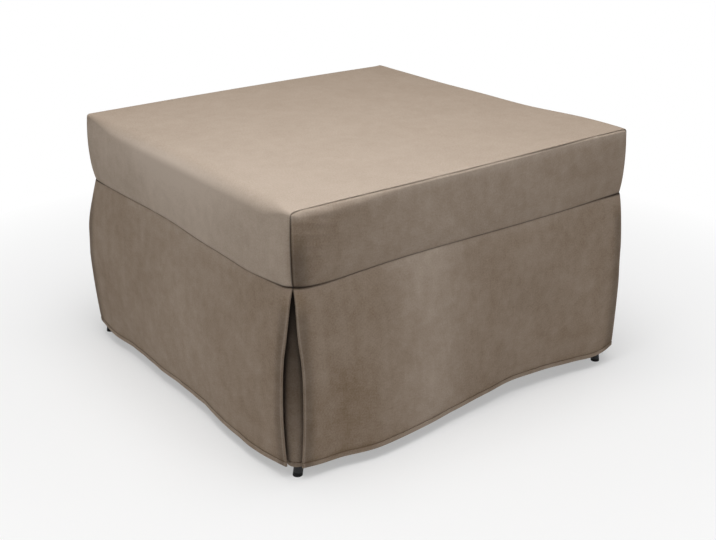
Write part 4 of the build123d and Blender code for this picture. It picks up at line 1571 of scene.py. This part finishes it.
# %% Wear group
def make_wear_group():
    """Fine surface height, a slow unevenness and sparse short scuffs, for hard pieces."""
    group, enter, leave = new_group(
        "surface_wear",
        [("Place", "NodeSocketVector", None), ("Grain", "NodeSocketFloat", 1400.0)],
        [("Uneven", "NodeSocketFloat"), ("Scuffs", "NodeSocketFloat"), ("Height", "NodeSocketFloat")],
    )
    place = enter.outputs["Place"]
    slow = noise_node(group, place, 14.0, 4.0, 0.6)
    group.links.new(spread(group, slow, 0.3, 0.7), leave.inputs["Uneven"])
    lines = noise_node(group, stretched(group, place, (30.0, 260.0, 260.0)), 1.0, 5.0, 0.7)
    group.links.new(spread(group, lines, 0.66, 0.74), leave.inputs["Scuffs"])
    grain = group.nodes.new("ShaderNodeTexNoise")
    grain.inputs["Detail"].default_value = 2.0
    group.links.new(place, grain.inputs["Vector"])
    group.links.new(enter.outputs["Grain"], grain.inputs["Scale"])
    group.links.new(grain.outputs[0], leave.inputs["Height"])
    return group


wear_group = make_wear_group()
print("wear nodes", len(wear_group.nodes))


# %% Hard surfaces
def make_hard(name, low, high, scuff, roughness, grain, bump_height, metallic=0.0, specular=0.5):
    """A worn hard surface: its colour wanders from low to high, and the scuffs show through."""
    material, tree, shader = start_material(name, roughness, specular)
    wear = use_group(tree, wear_group, Grain=grain)
    tree.links.new(object_place(tree), wear.inputs["Place"])
    uneven, scuffs = wear.outputs["Uneven"], wear.outputs["Scuffs"]
    base = mix_colors(tree, uneven, srgb(*low), srgb(*high))
    worn = mix_colors(tree, math_node(tree, "MULTIPLY", scuffs, 0.35), base, srgb(*scuff))
    tree.links.new(worn, shader.inputs["Base Color"])
    rough = spread(tree, uneven, 0, 1, roughness - 0.05, roughness + 0.07)
    rough = math_node(tree, "MULTIPLY_ADD", scuffs, 0.12, rough)
    tree.links.new(rough, shader.inputs["Roughness"])
    shader.inputs["Metallic"].default_value = metallic
    bump_from(tree, wear.outputs["Height"], 0.3, bump_height, shader)
    return material


HARD_FINISHES = {  # slot: material, two colours it wanders between, colour of its scuffs, values
    "frame_steel": (
        "powder_coated_steel", (23, 23, 25), (31, 31, 33), (84, 84, 86),
        {"roughness": 0.42, "grain": 900.0, "bump_height": 0.00008, "specular": 0.35},
    ),
    "pin_steel": (
        "zinc_plated_steel", (176, 178, 180), (200, 201, 202), (120, 120, 122),
        {"roughness": 0.32, "grain": 1600.0, "bump_height": 0.00004, "metallic": 0.95},
    ),
    "holder_plastic": (
        "holder_plastic", (36, 36, 38), (46, 46, 48), (80, 80, 82),
        {"roughness": 0.55, "grain": 2600.0, "bump_height": 0.00006},
    ),
    "plug_plastic": (
        "plug_plastic", (30, 30, 32), (38, 38, 40), (74, 74, 76),
        {"roughness": 0.5, "grain": 2600.0, "bump_height": 0.00006},
    ),
    "foot_plastic": (
        "foot_plastic", (6, 6, 7), (11, 11, 12), (40, 40, 42),
        {"roughness": 0.6, "grain": 2400.0, "bump_height": 0.00006, "specular": 0.2},
    ),
}
slot_finish = {
    slot: make_hard(name, low, high, scuff, **values)
    for slot, (name, low, high, scuff, values) in HARD_FINISHES.items()
}
print("hard finishes", list(slot_finish))


# %% Slat wood
ply_thickness = 0.00114
stripes_warp, stripes_grain = 9.0, 1.2  # how much each bends the year rings


def make_slat_wood():
    """Birch ply: grain along Y on the faces, seven plies with glue lines at the edges."""
    material, tree, shader = start_material("birch_ply", 0.42, 0.5)
    place = object_place(tree)
    warp = noise_node(tree, stretched(tree, place, (6.0, 1.2, 6.0)), 1.0, 3.0, 0.5)
    along = stretched(tree, place, (95.0, 3.2, 95.0))
    grain = noise_node(tree, along, 1.0, 6.0, 0.62)
    pores = noise_node(tree, stretched(tree, place, (900.0, 26.0, 900.0)), 1.0, 3.0, 0.6)
    bent = weighted_sum(tree, (grain, stripes_grain), (warp, stripes_warp))
    figure = math_node(tree, "FRACT", bent)
    ring = math_node(tree, "PINGPONG", figure, 0.5)
    face = mix_colors(tree, spread(tree, grain, 0.3, 0.7), srgb(205, 168, 120), srgb(228, 197, 152))
    face = mix_colors(tree, spread(tree, ring, 0.34, 0.5, 0, 0.35), face, srgb(180, 138, 92))
    face = mix_colors(tree, spread(tree, pores, 0.62, 0.72, 0, 0.5), face, srgb(140, 102, 66))
    _, _, level = parts_of(tree, place)
    ply = math_node(tree, "FRACT", math_node(tree, "MULTIPLY", level, 1 / ply_thickness))
    glue = spread(tree, math_node(tree, "PINGPONG", ply, 0.5), 0.0, 0.10, 0.8, 0.0)
    plies = mix_colors(tree, spread(tree, ply, 0.4, 0.6), srgb(198, 160, 112), srgb(218, 184, 138))
    plies = mix_colors(tree, glue, plies, srgb(92, 62, 40))
    _, _, facing_up = parts_of(tree, object_place(tree, "Normal"))
    at_edge = spread(tree, math_node(tree, "ABSOLUTE", facing_up), 0.35, 0.7, 1.0, 0.0)
    tree.links.new(mix_colors(tree, at_edge, face, plies), shader.inputs["Base Color"])
    tree.links.new(spread(tree, grain, 0.3, 0.7, 0.36, 0.5), shader.inputs["Roughness"])
    bump_from(tree, pores, 0.25, 0.0002, shader)
    return material


slot_finish["slat_wood"] = make_slat_wood()
print("slat nodes", len(slot_finish["slat_wood"].node_tree.nodes))

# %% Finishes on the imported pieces
slot_of_node = {part["node"]: part["material_slot"] for part in frame["record"]["subparts"]}
finished = 0
for node_name, piece in nodes.items():
    finish = slot_finish.get(slot_of_node.get(node_name))
    if finish is None:
        continue
    piece.data.materials.clear()
    piece.data.materials.append(finish)
    finished += 1
print("packed pieces with a finish", finished)

# %% [markdown]
# ## Ticking
#
# The pads' cotton ticking is a close twill: fine diagonal ribs, a little darker between the
# threads, and a narrow woven stripe in a slightly greyer yarn. The piping is the same cloth cut on
# the bias and wrapped round a cord.

# %% Twill group
def make_twill_group():
    """Twill ribs with crossing threads: a shade and a height from two lengths of the cloth."""
    group, enter, leave = new_group(
        "twill_weave",
        [("Place", "NodeSocketVector", None), ("Threads", "NodeSocketFloat", 1500.0)],
        [("Shade", "NodeSocketFloat"), ("Height", "NodeSocketFloat")],
    )
    place, pitch = enter.outputs["Place"], enter.outputs["Threads"]
    across, along, level = parts_of(group, place)
    first = math_node(group, "MULTIPLY", across, pitch)
    second = math_node(group, "MULTIPLY", math_node(group, "ADD", along, level), pitch)
    ribs = math_node(group, "SINE", math_node(group, "ADD", first, second))
    threads = math_node(group, "SINE", math_node(group, "MULTIPLY", second, 2.0))
    height = math_node(group, "MULTIPLY_ADD", threads, 0.35, ribs)
    group.links.new(height, leave.inputs["Height"])
    slubs = noise_node(group, stretched(group, place, (900.0, 60.0, 60.0)), 1.0, 4.0, 0.6)
    shade = weighted_sum(group, (slubs, 0.45), (spread(group, height, -1.35, 1.35), 0.55))
    group.links.new(shade, leave.inputs["Shade"])
    return group


twill_group = make_twill_group()
print("twill nodes", len(twill_group.nodes))

# %% Ticking materials
stripe_pitch = 0.030


def add_stripe(tree, place, cloth_color, stripe):
    """A narrow woven stripe over the top and bottom panels, and none on the border."""
    _, along, _ = parts_of(tree, place)
    across = math_node(tree, "MULTIPLY", along, 1 / stripe_pitch)
    line = spread(tree, math_node(tree, "PINGPONG", across, 0.5), 0.045, 0.055, 0.55, 0.0)
    _, _, facing_up = parts_of(tree, object_place(tree, "Normal"))
    on_panel = spread(tree, math_node(tree, "ABSOLUTE", facing_up), 0.45, 0.6)
    return mix_colors(tree, math_node(tree, "MULTIPLY", line, on_panel), cloth_color, stripe)


def make_ticking(name, light, dark, stripe=None):
    """Cotton twill: dark between its threads, a little blotchy, with or without a stripe."""
    material, tree, shader = start_material(name, 0.85, 0.2)
    place = object_place(tree)
    twill = use_group(tree, twill_group, Threads=2200.0)
    tree.links.new(place, twill.inputs["Place"])
    broad = noise_node(tree, place, 9.0, 3.0, 0.5)
    cloth_color = mix_colors(tree, twill.outputs["Shade"], dark, light)
    cloth_color = mix_colors(tree, spread(tree, broad, 0.35, 0.7, 0.0, 0.18), cloth_color, dark)
    if stripe:
        cloth_color = add_stripe(tree, place, cloth_color, stripe)
    tree.links.new(cloth_color, shader.inputs["Base Color"])
    shader.inputs["Sheen Weight"].default_value = 0.1
    bump_from(tree, twill.outputs["Height"], 0.5, 0.0002, shader)
    return material


ticking = make_ticking("cotton_ticking", srgb(228, 221, 206), srgb(196, 187, 170), srgb(160, 156, 148))
piping_cloth = make_ticking("piping_cloth", srgb(205, 196, 180), srgb(168, 158, 141))
zip_finish = make_hard(
    "zip_plastic", (170, 162, 148), (186, 178, 165), (140, 134, 124),
    roughness=0.45, grain=1800.0, bump_height=0.00003,
)
print("pad materials", ticking.name, piping_cloth.name, zip_finish.name)

# %% [markdown]
# ## Dressing the cover
#
# Each panel replaces its solid in the imported model and rides on the cover.


def dress_cover(piece, node_names):
    """One panel: its cloth, the body it rides on, and the imported solid that it hides."""
    piece.data.materials.append(cover_cloth)
    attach(piece, "slipcover")
    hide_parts(*node_names)
    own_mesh(piece)


dress_cover(top_cloth, ["cover_top_wrap"])
for side, piece in bands.items():
    dress_cover(piece, [f"cover_band_{side}"])
for side, piece in skirts.items():
    dress_cover(piece, [f"cover_skirt_{side}"])
for side, piece in inserts.items():
    dress_cover(piece, [f"cover_insert_{side}"])
print("cover panels", 1 + len(bands) + len(skirts) + len(inserts))

# %% [markdown]
# ## Pads on their sections
#
# The three pads are copies of the sewn one, each turned a different way so that their folds
# differ. The middle section lies face down in the folded bed, so its pad is upside down.

# %% Pads on the frame
def place_copy(master, name, centre, turn, material, body, replaced=None):
    """A copy of a sewn piece, turned, moved to its pad's middle and set on its body."""
    piece = bpy.data.objects.new(name, master.data.copy())
    piece.data.transform(Matrix.Translation(centre) @ turn)
    piece.data.materials.clear()
    piece.data.materials.append(material)
    bpy.context.scene.collection.objects.link(piece)
    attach(piece, body)
    if replaced:
        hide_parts(replaced)
    return piece


PAD_TURNS = {
    "base": Matrix.Identity(4),
    "middle": Matrix.Rotation(pi, 4, "X"),
    "head": Matrix.Rotation(pi, 4, "Z"),
}
PAD_BODY = {"base": "base", "middle": "middle_section", "head": "head_section"}
for section, turn in PAD_TURNS.items():
    low, high = (np.array(corner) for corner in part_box(f"{section}_mattress"))
    centre = ((low + high) / 2).tolist()
    body, solid = PAD_BODY[section], f"{section}_mattress"
    pad = place_copy(pad_master, f"{section}_pad", centre, turn, ticking, body, solid)
    for side, cord in zip(("upper", "lower"), piping_master):
        place_copy(cord, f"{section}_piping_{side}", centre, turn, piping_cloth, body)
    place_copy(zip_master, f"{section}_zip", centre, turn, zip_finish, body)
    print("pad on", body, "at", np.round(centre, 3))
for master in (pad_master, zip_master, *piping_master):
    bpy.data.objects.remove(master)

# %% [markdown]
# ## Rivets and welds
#
# Domed rivets hold the feet of the outer hinge plates to the rails, and short weld beads hold the
# leg hoops under the end rails. Each bead is a row of overlapping ripples, as a hand weld leaves.

# %% Rivets
SIDE_NAMES = {-1: "front", 1: "back"}  # by the sign of Y
END_NAMES = {-1: "left", 1: "right"}  # by the sign of X
rivet_radius, rivet_height = 0.0052, 0.0016
rivet_insets = (0.012, 0.072)  # from the end of the section
dome_edge = 0.25  # share of the height that the rim stands up
RIVETED = (  # outer plates, the rails under them, their body, and the end where they sit
    ("middle_fold_plates", "middle_side_rails", "middle_section", -1),
    ("head_fold_plates", "head_side_rails", "head_section", 1),
)


def dome(name, place, outward, radius, height):
    """A domed head: rings whose height over the radius follows a quarter of an ellipse."""
    share = np.sin(np.linspace(0, pi / 2, 7))[:, None]
    turn = np.linspace(0, 2 * pi, 21)[None, :]
    rise = height * (dome_edge + (1 - dome_edge) * np.sqrt(np.clip(1 - share**2, 0, 1)))
    rise = np.concatenate([rise, [[-0.0002]]])
    share = np.concatenate([share, [[1.0]]])
    x = place[0] + radius * share * np.cos(turn)
    y = place[1] + outward * rise + 0 * turn
    z = place[2] + radius * share * np.sin(turn)
    points = np.stack([x, y, z], axis=-1)
    return grid_mesh(name, points if outward < 0 else points[:, ::-1])


section_half = float(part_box("base_side_rails")[1][0])
for plates, rails, body, end in RIVETED:
    low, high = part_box(plates)
    rails_low, rails_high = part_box(rails)
    level = (rails_low[2] + rails_high[2]) / 2
    for side, face in ((-1, low[1]), (1, high[1])):
        for index, inset in enumerate(rivet_insets):
            place = (end * (section_half - inset), face, level)
            rivet_name = f"rivet_{body}_{SIDE_NAMES[side]}_{index}"
            rivet = dome(rivet_name, place, side, rivet_radius, rivet_height)
            rivet.data.materials.append(slot_finish["pin_steel"])
            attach(rivet, body)
print("rivets", 2 * len(RIVETED) * len(rivet_insets))

# %% Weld beads
bead_radius, bead_length = 0.0017, 0.04
bead_starts = (-0.22, -0.02, 0.18)  # along Y
bead_inset, bead_drop = 0.010, 0.0010  # from the section's end, and below the rail
FLANKS = {"in": -0.0042, "out": 0.0042}


def weld_bead(name, start, end):
    """A lumpy tapered cord of metal from start to end."""
    share = np.linspace(0, 1, 34)
    line = np.array(start) + (np.array(end) - np.array(start)) * share[:, None]
    bead = tube_along(name, line, 1.0, sides=8, closed=False)
    points = coordinates(bead.data).reshape(len(share), 8, 3)
    tapered = np.sqrt(np.clip(1 - (2 * share - 1) ** 6, 0, 1))
    swell = bead_radius * tapered * (0.88 + 0.12 * np.abs(np.sin(share * 26)))
    middle = points.mean(axis=1, keepdims=True)
    points = middle + (points - middle) * swell[:, None, None]
    set_coordinates(bead.data, points.reshape(-1, 3))
    bead.data.materials.append(slot_finish["frame_steel"])
    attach(bead, "base")
    return bead


bead_z = float(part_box("base_end_rails")[0][2]) - bead_drop
for end in (-1, 1):
    for number, y in enumerate(bead_starts):
        for flank, offset in FLANKS.items():
            x = end * (section_half - bead_inset) + offset
            bead_name = f"weld_{END_NAMES[end]}_{number}_{flank}"
            weld_bead(bead_name, (x, y, bead_z), (x, y + bead_length, bead_z))
print("weld beads at height", round(bead_z, 4))

# %% Finish
bpy.context.scene.view_settings.view_transform = "Standard"
